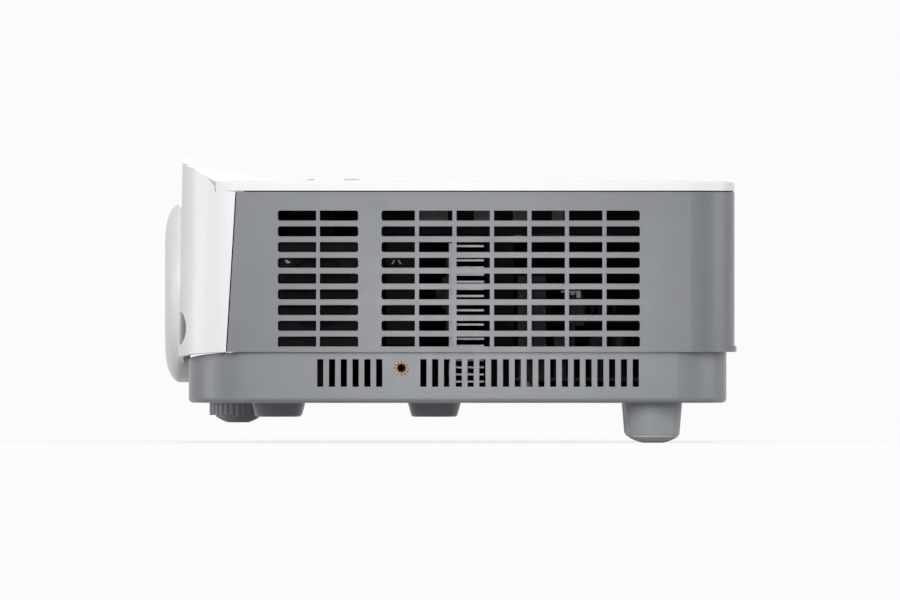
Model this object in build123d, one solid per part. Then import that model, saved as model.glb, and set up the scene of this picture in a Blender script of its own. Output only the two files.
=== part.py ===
from build123d import *
from math import acos, asin, atan2, cos, degrees, pi, radians, sin, sqrt, tan
import os

# A table-top projector with a disc player built in. Millimetres, +Z up.
# The lens looks along -X, the sockets are at +X, the disc tray slides out along +Y.
# The origin is on the table, under the middle of the case.

# ---------------------------------------------------------------- driving sizes
case_length = 287.0        # lens bezel to rear lip
case_width = 230.0         # over the lips at the foot of the grey sides
foot_height = 20.0         # table to the underside of the case
base_height = 25.5         # underside to the seam
side_height = 80.1         # seam to the top of the grey sides
cover_height = 5.9         # white cover above the grey sides
brow_rise = 11.5           # top of the front's arch above the cover
brow_side_rise = 7.0       # the arch's ends above the cover
brow_lip = 2.6             # thickness of the front's top lip
wall = 2.5                 # moulded walls
body_gap = 0.3             # gap between pieces that don't touch
running_gap = 0.05         # radial clearance of a shaft in its bore
snug_gap = 0.05            # clearance of a fixed piece in its seat

lip_out = 1.0              # lip at the foot of the sides, outwards
lip_height = 3.0
rear_corner = 22.0         # plan radius of the grey sides at the rear
base_inset = 2.0           # base inside the sides, each side
base_rear_inset = 4.0
base_front_corner = 34.0
base_rear_corner = 25.0
base_edge = 2.4            # rounding of the base's lower edge
seam_dip = 6.5             # the front seam dips towards the middle
seam_top_back = 36.8       # slanted side seam, behind the lens bezel's front
seam_foot_back = 32.0
seam_gap = 0.6
cover_groove = 0.6         # height of the shadow groove under the cover's edge
groove_depth = 1.8

# ventilation slots in the sides
slot_rows = 9
slot_pitch_z = 7.87
slot_height = 5.05
top_slot_z = 113.7         # middle of the top row
front_group_x = -76.5      # middle of the front group's first slot
front_slot_width = 19.2
front_slot_pitch = 21.0
front_slot_count = 2
rear_group_x = -25.9
rear_slot_width = 16.7
rear_slot_pitch = 18.75
rear_slot_count = 7
slot_corner = 1.2
# narrow slots in the base
low_slot_width = 3.1
low_slot_height = 13.8
low_slot_pitch = 5.9
low_slot_z = 35.0
low_front_x = -64.9
low_front_count = 6
low_rear_x = -13.3
low_rear_count = 19

# lens side
axis_z = 75.0              # optical axis
bezel_radius = 45.0
bezel_rim = 4.7            # straight side of the round bezel
bezel_rise = 7.5           # its dome
bezel_opening = 27.0
front_lean = 2.0           # the front leans back between seam and brow
front_corner = 30.0
window_radius = 8.2        # remote-control window
window_inset = 24.0        # in from the grey side
window_z = 57.4
window_proud = 0.15

barrel_radius = 21.0
barrel_wall = 2.4
barrel_length = 52.0
focus_ring_radius = 26.0
focus_ring_length = 19.0
focus_travel = 3.0
focus_turn = 90.0          # ring turn that gives the travel
mount_wall = 4.0

# light engine
panel_x = -70.0            # tilting LCD carrier
panel_width = 104.0
panel_height = 66.0
panel_thickness = 3.0
carrier_border = 3.0
carrier_tilt = 6.0
chamber_wall = 2.0
tunnel_end_x = -13.0
tunnel_end_half = 15.0

# heat sink and fans
sink_x = -0.5
sink_z = 64.575            # middle of the fins
sink_base = 2.0
fin_depth = 15.5
fin_thickness = 1.0
fin_pitch = 3.57
fin_count = 20
sink_inset = 17.0          # fins' near end, in from the near side
sink_y1 = 28.0
fan_size = 52.0
fan_depth = 14.0
fan_hub = 11.0
fan_blades = 7

# boards and sockets
board_thickness = 1.6
jack_x = -24.3
jack_z = 37.5
jack_hole = 1.75           # 3.5 mm plug
bushing_radius = 3.1
panel_inset = 27.0         # rear socket panel, in from each side
panel_z0 = 50.0
panel_z1 = 97.0

# disc loader
loader_width = 146.0
loader_length = 189.0
loader_inset = 6.0         # its open end, in from the far side
loader_z0 = 104.5
loader_height = 18.0
loader_wall = 2.0
tray_width = 130.0
tray_thickness = 3.6
tray_travel = 134.0
disc_radius = 60.0
disc_inset = 66.5          # disc's middle, in from the loader's open end
disc_well_depth = 1.8
window_width = 46.0
bezel_width = 142.0        # tray front
bezel_height = 13.0
gear_module = 1.0
pinion_teeth = 22
small_teeth = 12
tooth_backlash = 0.4
pinion_inset = 19.0        # in from the loader's open end
turntable_radius = 15.0
clamper_radius = 14.0
sled_travel = 34.0
traverse_drop = 2.3        # degrees
pulley_radius = 7.0
motor_pulley_radius = 3.0
belt_radius = 0.6

# feet, bosses and controls
front_foot_inset = 24.2    # behind the base's front
knob_radius = 14.5
foot_thread = 3.0
foot_travel = 18.0
boss_top_radius = 13.4
boss_foot_radius = 11.4
boss_drop = 7.2
boss_front_x = -86.4
boss_rear_x = -7.9
boss_y = 42.0
insert_bore = 2.0          # M4 inserts
rear_foot_back = 36.8      # in from the base's rear
rear_foot_inset = 26.0     # in from the base's side
foot_top_radius = 14.6
foot_bottom_radius = 13.3
pad_radius = 12.6
pad_height = 3.9
pad_dome = 3.1             # the pads' undersides are domed round a small flat
pad_flat = 5.0
button_radius = 4.5
button_travel = 0.6
button_x = -49.0
button_pitch = 17.0
keypad_half_x = 9.0

# ---------------------------------------------------------------- places worked out
front_x = -case_length / 2
rear_x = case_length / 2
half_width = case_width / 2
seam_top_x = front_x + seam_top_back
seam_foot_x = front_x + seam_foot_back
base_z = foot_height
seam_z = base_z + base_height
side_top_z = seam_z + side_height
cover_top_z = side_top_z + cover_height
brow_z = cover_top_z + brow_rise
brow_side_z = cover_top_z + brow_side_rise
side_half = half_width - lip_out
side_rear_x = rear_x - lip_out
base_half = side_half - base_inset
base_rear_x = side_rear_x - base_rear_inset
bezel_front_x = front_x
bezel_rim_x = bezel_front_x + bezel_rise
bezel_back_x = bezel_rim_x + bezel_rim
base_front_x = bezel_back_x + body_gap
face_foot_x = bezel_rim_x                # front face where it meets the seam
face_top_x = face_foot_x + front_lean
floor_z = base_z + wall                  # inside floor
cover_under_z = cover_top_z - wall
front_foot_x = base_front_x + front_foot_inset
rear_foot_x = base_rear_x - rear_foot_back
rear_foot_y = base_half - rear_foot_inset
window_y = window_inset - side_half
sink_y0 = sink_inset - half_width
panel_half = half_width - panel_inset
loader_x0 = button_x + keypad_half_x + 1.0
loader_x1 = loader_x0 + loader_width
loader_x = (loader_x0 + loader_x1) / 2
loader_y1 = half_width - loader_inset
loader_y0 = loader_y1 - loader_length
loader_z1 = loader_z0 + loader_height
disc_y = loader_y1 - disc_inset
pinion_y = loader_y1 - pinion_inset


# ---------------------------------------------------------------- small helpers
def block(x0, x1, y0, y1, z0, z1):
    """A box between two corners."""
    return Pos((x0 + x1) / 2, (y0 + y1) / 2, (z0 + z1) / 2) * Box(x1 - x0, y1 - y0, z1 - z0)


def rod_x(x0, x1, y, z, radius):
    return Pos((x0 + x1) / 2, y, z) * Rot(0, 90, 0) * Cylinder(radius, x1 - x0)


def rod_y(x, y0, y1, z, radius):
    return Pos(x, (y0 + y1) / 2, z) * Rot(90, 0, 0) * Cylinder(radius, y1 - y0)


def rod_z(x, y, z0, z1, radius):
    return Pos(x, y, (z0 + z1) / 2) * Cylinder(radius, z1 - z0)


def tube_z(x, y, z0, z1, outer, inner):
    return rod_z(x, y, z0, z1, outer) - rod_z(x, y, z0 - 1, z1 + 1, inner)


def tube_x(x0, x1, y, z, outer, inner):
    return rod_x(x0, x1, y, z, outer) - rod_x(x0 - 1, x1 + 1, y, z, inner)


def cone_z(x, y, z0, z1, low_radius, high_radius):
    return Pos(x, y, (z0 + z1) / 2) * Cone(low_radius, high_radius, z1 - z0)


def domed_pad(x, y, z0, z1, radius, dome):
    """A soft disc whose underside is a shallow dome with a small flat."""
    middle = (pad_flat + radius) / 2
    middle_z = z0 + dome * (middle / radius) ** 3
    curve = ThreePointArc((pad_flat, 0, z0), (middle, 0, middle_z), (radius, 0, z0 + dome))
    rest = Polyline((radius, 0, z0 + dome), (radius, 0, z1), (0, 0, z1), (0, 0, z0), (pad_flat, 0, z0))
    return Pos(x, y, 0) * revolve(make_face([curve, *rest.edges()]), Axis.Z)


def plan(x0, x1, half, front_radius, rear_radius):
    """A rectangle in plan with round corners."""
    sheet = Pos((x0 + x1) / 2, 0) * Rectangle(x1 - x0, 2 * half)
    if front_radius > 0:
        sheet = fillet(sheet.vertices().group_by(Axis.X)[0], front_radius)
    if rear_radius > 0:
        sheet = fillet(sheet.vertices().group_by(Axis.X)[-1], rear_radius)
    return sheet


def raised(sheet, z0, z1):
    """Extrude a plan outline between two heights."""
    return extrude(Pos(0, 0, z0) * sheet, z1 - z0)


def grown(sheet, amount):
    return offset(sheet, amount, kind=Kind.INTERSECTION)


def side_profile(points, y0, y1):
    """Extrude an outline drawn in X and Z along Y."""
    face = make_face(Polyline(*[(x, 0, z) for x, z in points], close=True))
    return Pos(0, y0, 0) * extrude(face, y1 - y0, dir=(0, 1, 0))


def front_profile(points, x0, x1):
    """Extrude an outline drawn in Y and Z along X."""
    face = make_face(Polyline(*[(0, y, z) for y, z in points], close=True))
    return Pos(x0, 0, 0) * extrude(face, x1 - x0, dir=(1, 0, 0))


def along_x(half_outline, y=0.0, z=0.0):
    """Turn an outline of (x, radius) points about an axis along X."""
    face = make_face(Polyline(*[(x, 0, r) for x, r in half_outline], close=True))
    return Pos(0, y, z) * revolve(face, Axis.X)


def arch(x0, x1, half, low_z, rise, down_to):
    """Everything under an arch that spans the width, between two places along X."""
    edge = ThreePointArc((0, -half, low_z), (0, 0, low_z + rise), (0, half, low_z))
    rest = Polyline((0, half, low_z), (0, half, down_to), (0, -half, down_to), (0, -half, low_z))
    face = make_face([edge, *rest.edges()])
    return Pos(x0, 0, 0) * extrude(face, x1 - x0, dir=(1, 0, 0))


def save(shape, name):
    """Write one node; a group of separate solids is written as one compound."""
    solids = shape.solids()
    kept = solids[0] if len(solids) == 1 else Compound(list(solids))
    kept.label = name
    export_step(kept, f"parts/{name}.step")


def involute_gear(teeth, z0, z1, x, y, turn, bore):
    """A spur gear with involute flanks, thinned by half of the backlash."""
    pitch_r = gear_module * teeth / 2
    base_r = pitch_r * cos(radians(20))
    outer_r = pitch_r + 0.9 * gear_module
    root_r = pitch_r - 1.2 * gear_module
    half_tooth = (pi * gear_module / 2 - tooth_backlash / 2) / 2 / pitch_r
    inv_pitch = tan(radians(20)) - radians(20)

    def flank_angle(r):
        if r <= base_r:
            return half_tooth + inv_pitch
        pressure = acos(base_r / r)
        return half_tooth + inv_pitch - (tan(pressure) - pressure)

    radii = [root_r, max(base_r, root_r + 0.05)]
    radii += [radii[-1] + (outer_r - radii[-1]) * k / 4 for k in range(1, 5)]
    points = []
    for tooth in range(teeth):
        middle = 2 * pi * tooth / teeth + turn
        flanks = [(r, middle - flank_angle(r)) for r in radii]
        flanks += [(r, middle + flank_angle(r)) for r in reversed(radii)]
        points += [(r * cos(angle), r * sin(angle)) for r, angle in flanks]
    blank = make_face(Polyline(*points, close=True))
    gear = extrude(Pos(x, y, z0) * blank, z1 - z0)
    return gear - rod_z(x, y, z0 - 1, z1 + 1, bore)


# ---------------------------------------------------------------- shared shapes
side_plan = plan(seam_foot_x - 30, side_rear_x, side_half, 0, rear_corner)
side_inner_plan = plan(seam_foot_x - 31, side_rear_x - wall, side_half - wall, 0, rear_corner - wall)
base_plan = plan(base_front_x, base_rear_x, base_half, base_front_corner, base_rear_corner)
base_inner_plan = plan(base_front_x + wall, base_rear_x - wall, base_half - wall,
                       base_front_corner - wall, base_rear_corner - wall)
face_half = side_half - body_gap


def face_x(z):
    """Where the leaning front face is at a height."""
    return face_foot_x + front_lean * (z - seam_z) / (brow_z - seam_z)


def face_block(inset, z0, z1):
    """The leaning front between two heights, as a loft of two plans."""
    plans = [Pos(0, 0, z) * plan(face_x(z) + inset, seam_top_x + 12, face_half - inset,
                                 front_corner - inset, 0)
             for z in (z0, z1)]
    return loft(plans, ruled=True)


def behind_seam(shift):
    """Everything behind the slanted side seam."""
    slope = (seam_top_x - seam_foot_x) / (side_top_z - seam_z)
    low, high = base_z - 5, brow_z + 5
    return side_profile([(seam_foot_x + slope * (low - seam_z) + shift, low),
                         (rear_x + 5, low), (rear_x + 5, high),
                         (seam_foot_x + slope * (high - seam_z) + shift, high)],
                        -half_width - 5, half_width + 5)


# ---------------------------------------------------------------- base
boss_places = [(x, y) for x in (boss_front_x, boss_rear_x) for y in (-boss_y, boss_y)]
foot_places = [(rear_foot_x, -rear_foot_y), (rear_foot_x, rear_foot_y)]
screw_inset = 14.0
front_screw_inset = 36.0
screw_places = [(x, y) for x in (base_front_x + front_screw_inset, base_rear_x - screw_inset)
                for y in (-base_half + screw_inset, base_half - screw_inset)]
screw_post_top = seam_z - 4.0
foot_nut_radius = 6.0
foot_nut_height = 12.0
board_post_radius = 3.0
post_inset = 5.0
supply_x0, supply_x1 = 32.6, rear_x - 25.5
supply_y0, supply_y1 = 11.0 - half_width, -24.0
supply_z = 31.0
main_x0, main_x1 = 36.0, rear_x - 8.5
main_y0, main_y1 = -10.0, half_width - 15.0
main_z = 60.0
supply_posts = [(x, y) for x in (supply_x0 + post_inset, supply_x1 - post_inset)
                for y in (supply_y0 + post_inset, supply_y1 - post_inset)]
main_posts = [(x, y) for x in (main_x0 + post_inset, main_x1 - post_inset)
              for y in (main_y0 + post_inset, main_y1 - post_inset)]
engine_foot_z = axis_z - panel_height / 2 - carrier_border - 6.0 - chamber_wall
engine_posts = [(panel_x, -40.0), (panel_x, 40.0)]


def slot_comb(first_x, count):
    """Tools that cut one group of narrow slots through both side walls of the base."""
    tools = []
    for k in range(count):
        x = first_x + k * low_slot_pitch
        tools.append(block(x - low_slot_width / 2, x + low_slot_width / 2,
                           -half_width, half_width,
                           low_slot_z - low_slot_height / 2, low_slot_z + low_slot_height / 2))
    return tools


base = raised(base_plan, base_z, seam_z)
base = fillet(base.edges().group_by(Axis.Z)[0], base_edge)
base -= raised(base_inner_plan, floor_z, seam_z + 1)
seam_block = block(base_front_x - 1, seam_foot_x + 5, -half_width, half_width, seam_z - 20, seam_z + 1)
seam_dish = arch(base_front_x - 2, seam_foot_x + 6, side_half, seam_z, -seam_dip, seam_z - 40)
base -= seam_block - seam_dish
base -= slot_comb(low_front_x, low_front_count) + slot_comb(low_rear_x, low_rear_count)
for x, y in boss_places:
    boss = cone_z(x, y, base_z - boss_drop, base_z, boss_foot_radius, boss_top_radius)
    base += fillet(boss.edges().group_by(Axis.Z)[0], 1.5)
    base += rod_z(x, y, floor_z, floor_z + 4, insert_bore + 4)
for x, y in screw_places:
    base += rod_z(x, y, floor_z, screw_post_top, 4.0)
base += rod_z(front_foot_x, 0, floor_z, floor_z + 6, foot_nut_radius + 3)
for x, y in supply_posts:
    base += rod_z(x, y, floor_z, supply_z, board_post_radius)
for x, y in main_posts:
    base += rod_z(x, y, floor_z, main_z, board_post_radius + 1)
for x, y in engine_posts:
    base += rod_z(x, y, floor_z, engine_foot_z, 5.0)
# holes for inserts, the foot's nut, the case screws and the jack
insert_length = 9.0
insert_radius = insert_bore + 1.2
for x, y in boss_places:
    base -= rod_z(x, y, base_z - boss_drop - 1, base_z - boss_drop + insert_length + snug_gap,
                  insert_radius + snug_gap)
base -= rod_z(front_foot_x, 0, base_z - 1, floor_z + 7, foot_nut_radius + snug_gap)
for x, y in screw_places:
    base -= rod_z(x, y, base_z - 1, base_z + 3, 3.6)
    base -= rod_z(x, y, base_z, seam_z + 1, 1.6)
base -= rod_y(jack_x, -half_width, -base_half + wall + 1, jack_z, bushing_radius + snug_gap)
# intake slots in the floor, under the light engine and the fans
vent_count = 11
vent_pitch = 7.0
vent_width = 3.0
vent_length = 44.0
for k in range(vent_count):
    x = boss_rear_x + 22 + k * vent_pitch
    base -= block(x - vent_width / 2, x + vent_width / 2, -vent_length / 2, vent_length / 2,
                  base_z - 1, floor_z + 1)
save(base, "base_housing")

# four threaded inserts for a ceiling bracket
inserts = [tube_z(x, y, base_z - boss_drop, base_z - boss_drop + insert_length, insert_radius, insert_bore)
           for x, y in boss_places]
save(Compound(inserts), "mount_inserts")

# rear feet: fixed posts with soft pads
foot_posts = []
foot_pads = []
for x, y in foot_places:
    post = cone_z(x, y, pad_height, base_z, foot_bottom_radius, foot_top_radius)
    foot_posts.append(post)
    foot_pads.append(domed_pad(x, y, 0, pad_height, pad_radius, pad_dome))
save(Compound(foot_posts), "rear_feet")
save(Compound(foot_pads), "rear_foot_pads")

# front foot: a screw with a knurled knob and a domed pad, in a brass nut
knob_z1 = base_z - body_gap
knob_z0 = knob_z1 - 6.2
pad_low_z = knob_z0 - 3.7
grooves = 30
knob = rod_z(front_foot_x, 0, knob_z0, knob_z1, knob_radius)
for k in range(grooves):
    angle = 2 * pi * k / grooves
    knob -= rod_z(front_foot_x + (knob_radius + 0.5) * cos(angle), (knob_radius + 0.5) * sin(angle),
                  knob_z0 - 1, knob_z1 + 1, 1.1)
screw_top_z = base_z + 0.5 + foot_nut_height - 6.0 + foot_travel
foot_screw = knob + rod_z(front_foot_x, 0, knob_z1 - 1, screw_top_z, foot_thread)
spigot_radius = 3.0
foot_screw -= rod_z(front_foot_x, 0, knob_z0 - 1, knob_z0 + 4.0, spigot_radius + running_gap)
save(foot_screw, "front_foot_screw")
foot_pad = domed_pad(front_foot_x, 0, pad_low_z, knob_z0 - 0.1, knob_radius - 3.2, pad_dome)
foot_pad += rod_z(front_foot_x, 0, knob_z0 - 0.5, knob_z0 + 3.7, spigot_radius)
save(foot_pad, "front_foot_pad")
foot_nut = tube_z(front_foot_x, 0, base_z + 0.5, base_z + 0.5 + foot_nut_height, foot_nut_radius,
                  foot_thread + running_gap)
foot_nut += tube_z(front_foot_x, 0, floor_z + 6, floor_z + 8, foot_nut_radius + 2, foot_thread + running_gap)
save(foot_nut, "front_foot_nut")

# ---------------------------------------------------------------- grey sides and rear
flange = 5.0


# first slot's middle, slots in a row, pitch and width
front_group = (front_group_x, front_slot_count, front_slot_pitch, front_slot_width)
rear_group = (rear_group_x, rear_slot_count, rear_slot_pitch, rear_slot_width)


def slot_tools(group, first_row, rows, y0, y1):
    """Tools for a group of wide slots; only the group's outer corners are round."""
    first_x, count, pitch, width = group
    tools = []
    for row in range(first_row, first_row + rows):
        z = top_slot_z - row * slot_pitch_z
        for column in range(count):
            x = first_x + column * pitch
            tools.append(block(x - width / 2, x + width / 2, y0, y1, z - slot_height / 2, z + slot_height / 2))
    return tools


def outer_corner_fillets(shape, group, side):
    """Round the vertical ends of a slot group."""
    first_x, count, pitch, width = group
    left = first_x - width / 2
    right = first_x + (count - 1) * pitch + width / 2
    picked = [e for e in shape.edges().filter_by(Axis.Y)
              if (abs(e.center().X - left) < 0.01 or abs(e.center().X - right) < 0.01)
              and e.center().Y * side > 0 and abs(e.length - wall) < 0.01]
    return fillet(picked, slot_corner) if picked else shape


sides = raised(side_plan, seam_z, side_top_z)
lip_plan = grown(side_plan, lip_out) & Pos(50, 0) * Rectangle(400, case_width)
sides += raised(lip_plan, seam_z, seam_z + lip_height)
sides -= raised(side_inner_plan, seam_z - 1, side_top_z + 1)
rim_plan = side_plan - plan(seam_foot_x - 32, side_rear_x - wall - flange, side_half - wall - flange,
                            0, rear_corner - wall - flange)
flange_thickness = 2.0
sides += raised(rim_plan, side_top_z - flange_thickness, side_top_z)
sides += raised(rim_plan, seam_z, seam_z + flange_thickness)
sides = sides & behind_seam(0)
# slots: both groups on the near side; under the tray the far side has the lower rows only
near = (-half_width, -side_half + wall + 0.5)
far = (side_half - wall - 0.5, half_width)
tray_rows = 2
sides -= slot_tools(front_group, 0, slot_rows, *near)
sides -= slot_tools(rear_group, 0, slot_rows, *near)
sides -= slot_tools(front_group, 0, slot_rows, *far)
sides -= slot_tools(rear_group, tray_rows + 1, slot_rows - tray_rows - 1, *far)
for side in (-1, 1):
    sides = outer_corner_fillets(sides, front_group, side)
    sides = outer_corner_fillets(sides, rear_group, side)
# opening for the tray front, opening for the socket panel
tray_z0 = loader_z0 + 5.0
tray_z1 = tray_z0 + tray_thickness
bezel_z0 = tray_z0 + tray_thickness / 2 - bezel_height / 2 + 2.0
bezel_z1 = bezel_z0 + bezel_height
bezel_gap = 0.5
sides -= block(loader_x - bezel_width / 2 - bezel_gap, loader_x + bezel_width / 2 + bezel_gap,
               side_half - wall - 1, half_width + 1, bezel_z0 - bezel_gap, bezel_z1 + bezel_gap)
panel_margin = 4.0
sides -= block(side_rear_x - wall - 1, rear_x + 1, -panel_half + panel_margin, panel_half - panel_margin,
               panel_z0 + panel_margin, panel_z1 - panel_margin)
save(sides, "upper_housing")

# ---------------------------------------------------------------- white front
lower_edge = arch(front_x - 5, seam_foot_x + 20, side_half + 2, seam_z + body_gap, -seam_dip, 0)
brow = arch(front_x - 5, seam_foot_x + 20, side_half, brow_side_z, brow_z - brow_side_z, 0)
front = face_block(0, seam_z - 12, brow_z + 2) & brow
front -= lower_edge
front -= face_block(wall, seam_z - 13, side_top_z - wall)
front -= behind_seam(-seam_gap)
# behind its thin lip the front rolls down to the top of the grey sides
lip_back_x = face_top_x + brow_lip
cover_front_mid = lip_back_x + 1.4
cover_front_side = seam_foot_x - 5.0
roll_end_x = cover_front_side + 0.5
roll_middle_x = lip_back_x + 0.57 * (roll_end_x - lip_back_x)
roll_middle_z = brow_side_z - 0.37 * (brow_side_z - side_top_z)
roll = ThreePointArc((lip_back_x, 0, brow_side_z), (roll_middle_x, 0, roll_middle_z), (roll_end_x, 0, side_top_z))
roll_rest = Polyline((roll_end_x, 0, side_top_z), (seam_top_x + 20, 0, side_top_z),
                     (seam_top_x + 20, 0, brow_z + 5), (lip_back_x, 0, brow_z + 5), (lip_back_x, 0, brow_side_z))
front -= Pos(0, -half_width, 0) * extrude(make_face([roll, *roll_rest.edges()]), case_width, dir=(0, 1, 0))
# the white cover sits behind the lip: its front edge is an arc in plan
cover_sag = cover_front_side - cover_front_mid
cover_front_radius = (side_half ** 2 + cover_sag ** 2) / (2 * cover_sag)
cover_disc = Pos(cover_front_mid + cover_front_radius, 0) * Circle(cover_front_radius)
cover_gap_disc = Pos(cover_front_mid + cover_front_radius, 0) * Circle(cover_front_radius + body_gap)
front -= raised(cover_gap_disc & Pos(-100, 0) * Rectangle(200, 2 * half_width), side_top_z, brow_z + 5)
# a round seat for the bezel, with a hole for the lens
seat_floor_x = bezel_back_x
front -= rod_x(front_x - 1, seat_floor_x, 0, axis_z, bezel_radius + body_gap)
seat = rod_x(seat_floor_x, seat_floor_x + wall, 0, axis_z, bezel_radius + 4)
front += seat & block(front_x, 0, -half_width, half_width, seam_z + body_gap, brow_z)
lens_clear = focus_ring_radius + 1.5
front -= rod_x(front_x, seat_floor_x + 20, 0, axis_z, lens_clear)
# pocket for the remote-control window, square to the round corner
window_sine = (-window_y - (face_half - front_corner)) / front_corner
window_turn = degrees(asin(window_sine))
window_x = face_x(window_z) + front_corner * (1 - sqrt(1 - window_sine ** 2))
window_place = Pos(window_x, window_y, window_z) * Rot(0, 0, window_turn) * Rot(0, -90, 0)
front -= window_place * Cylinder(window_radius + snug_gap, 12)
window_seat = -2.2
seat_ring = window_place * Pos(0, 0, window_seat - 1.0) * Cylinder(window_radius + 2.5, 2.0)
front += seat_ring - window_place * Pos(0, 0, window_seat) * Cylinder(window_radius - 1.5, 8)
save(front, "front_fascia")

# the window follows the round corner and stands just proud of it
window_reach = 8.0
lens_cap = window_place * Pos(0, 0, window_seat + window_reach / 2) * Cylinder(window_radius, window_reach)
lens_cap &= face_block(-window_proud, window_z - 2 * window_radius, window_z + 2 * window_radius)
save(lens_cap, "ir_window")

# round bezel round the lens: a shallow dome on a straight rim
lip_radius = bezel_opening + 1.6


def dome(rise, outer_radius):
    """A quarter ellipse from the bezel's rim to the flat lip round the opening."""
    quarter = EllipticalCenterArc((bezel_rim_x, lip_radius), rise, outer_radius - lip_radius,
                                  start_angle=90, arc_size=90)
    return Plane.XZ * quarter


lip = Polyline((bezel_front_x, 0, lip_radius), (bezel_front_x, 0, bezel_opening),
               (bezel_front_x + wall, 0, bezel_opening), (bezel_front_x + wall, 0, lip_radius))
rim = Polyline((bezel_rim_x, 0, bezel_radius - wall), (bezel_back_x, 0, bezel_radius - wall),
               (bezel_back_x, 0, bezel_radius), (bezel_rim_x, 0, bezel_radius))
bezel_edges = [dome(bezel_rise, bezel_radius), *lip.edges(),
               dome(bezel_rise - wall, bezel_radius - wall), *rim.edges()]
bezel = Pos(0, 0, axis_z) * revolve(make_face(bezel_edges), Axis.X)
save(bezel, "lens_bezel")

# ---------------------------------------------------------------- white top cover
hump_length = 44.0
hump_rise = brow_rise - 4.5
cover_plan = side_plan & cover_disc
cover_plan &= plan(face_x(side_top_z), rear_x, side_half, front_corner, 0)
cover = raised(cover_plan, side_top_z, cover_top_z)
cover = fillet(cover.edges().group_by(Axis.Z)[-1].sort_by(Axis.X)[1:], 1.6)
cover -= raised(cover_plan - grown(side_plan, -groove_depth), side_top_z, side_top_z + cover_groove)
hump_x1 = cover_front_mid + hump_length
crest_x = cover_front_mid - 10
crest = Spline((crest_x, 0, cover_top_z + hump_rise),
               (cover_front_mid + hump_length / 2, 0, cover_top_z + hump_rise / 2),
               (hump_x1, 0, cover_top_z - 0.2), tangents=[(1, 0, 0), (1, 0, 0)])
hump_foot = Polyline((hump_x1, 0, cover_top_z - 0.2), (hump_x1, 0, cover_top_z - 1),
                     (crest_x, 0, cover_top_z - 1), (crest_x, 0, cover_top_z + hump_rise))
hump_side = make_face([crest.edge(), *hump_foot.edges()])
hump = Pos(0, -side_half, 0) * extrude(hump_side, 2 * side_half, dir=(0, 1, 0))
hump &= arch(crest_x - 2, hump_x1 + 1, side_half - 8, cover_top_z - 0.2,
             hump_rise + 0.2, cover_top_z - 1)
hump &= raised(cover_disc & Pos(-60, 0) * Rectangle(200, case_width), cover_top_z - 1, brow_z)
cover += hump
cover_rim = wall + 2.0
cover_hollow = grown(side_plan, -cover_rim)
cover_hollow &= Pos(cover_front_mid + cover_front_radius, 0) * Circle(cover_front_radius - cover_rim)
cover -= raised(cover_hollow, side_top_z - 1, cover_under_z)
# slot for the keystone lever
lever_half_length = 12.0
lever_slot_half = 2.4
lever_height = cover_top_z + 2.4
cover -= block(panel_x - lever_half_length, panel_x + lever_half_length, -lever_slot_half, lever_slot_half,
               side_top_z, brow_z)
# buttons: a row across the cover
button_places = {"power_button": -2, "source_button": -1, "menu_button": 0,
                 "play_button": 1, "eject_button": 2}
button_gap = 0.25
for step in button_places.values():
    cover -= rod_z(button_x, step * button_pitch, side_top_z, brow_z, button_radius + button_gap)
# bosses that carry the keypad board and the disc loader
keypad_z = cover_under_z - 5.0
keypad_half_y = 2 * button_pitch + 15.0
keypad_screws = [(button_x, y) for y in (-keypad_half_y + 4, keypad_half_y - 4)]
for x, y in keypad_screws:
    cover += rod_z(x, y, keypad_z, cover_under_z + 0.5, 3.0)
ear = 9.0
ear_places = [(loader_x + sx * (loader_width / 2 - ear), y) for sx in (-1, 1)
              for y in (loader_y0 + ear, loader_y1 - 4 * ear)]
for x, y in ear_places:
    cover += rod_z(x, y, loader_z1, cover_under_z + 0.5, 4.0)
save(cover, "top_cover")

# ---------------------------------------------------------------- keypad
keypad = block(button_x - keypad_half_x, button_x + keypad_half_x, -keypad_half_y, keypad_half_y,
               keypad_z - board_thickness, keypad_z)
switch_top_z = keypad_z + 1.8
for step in button_places.values():
    y = step * button_pitch
    keypad += block(button_x - 3, button_x + 3, y - 3, y + 3, keypad_z, switch_top_z)
keypad += block(button_x - 4, button_x + 4, -keypad_half_y / 4 - 4, -keypad_half_y / 4 + 4,
                keypad_z - board_thickness - 3, keypad_z - board_thickness)
save(keypad, "keypad_board")

button_proud = 0.9
for name, step in button_places.items():
    y = step * button_pitch
    cap = rod_z(button_x, y, switch_top_z + button_travel + 0.1, cover_top_z + button_proud, button_radius)
    cap = fillet(cap.edges().group_by(Axis.Z)[-1], 0.6)
    cap += rod_z(button_x, y, switch_top_z + button_travel + 0.1, cover_under_z - 0.2, button_radius + 1.2)
    save(cap, name)

# ---------------------------------------------------------------- lens
barrel_x0 = bezel_front_x + 3.5
barrel_x1 = barrel_x0 + barrel_length
bore = barrel_radius - barrel_wall
barrel = tube_x(barrel_x0, barrel_x1, 0, axis_z, barrel_radius, bore)
stop = 1.0
front_glass_x = barrel_x0 + 5.0
rear_glass_x = barrel_x1 - 10.0
glass_thickness = 5.0
stop_gap = 0.2
for x in (front_glass_x + glass_thickness + stop_gap, rear_glass_x - stop - stop_gap):
    barrel += tube_x(x, x + stop, 0, axis_z, bore + 0.5, bore - 2.0)
save(barrel, "lens_barrel")


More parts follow.
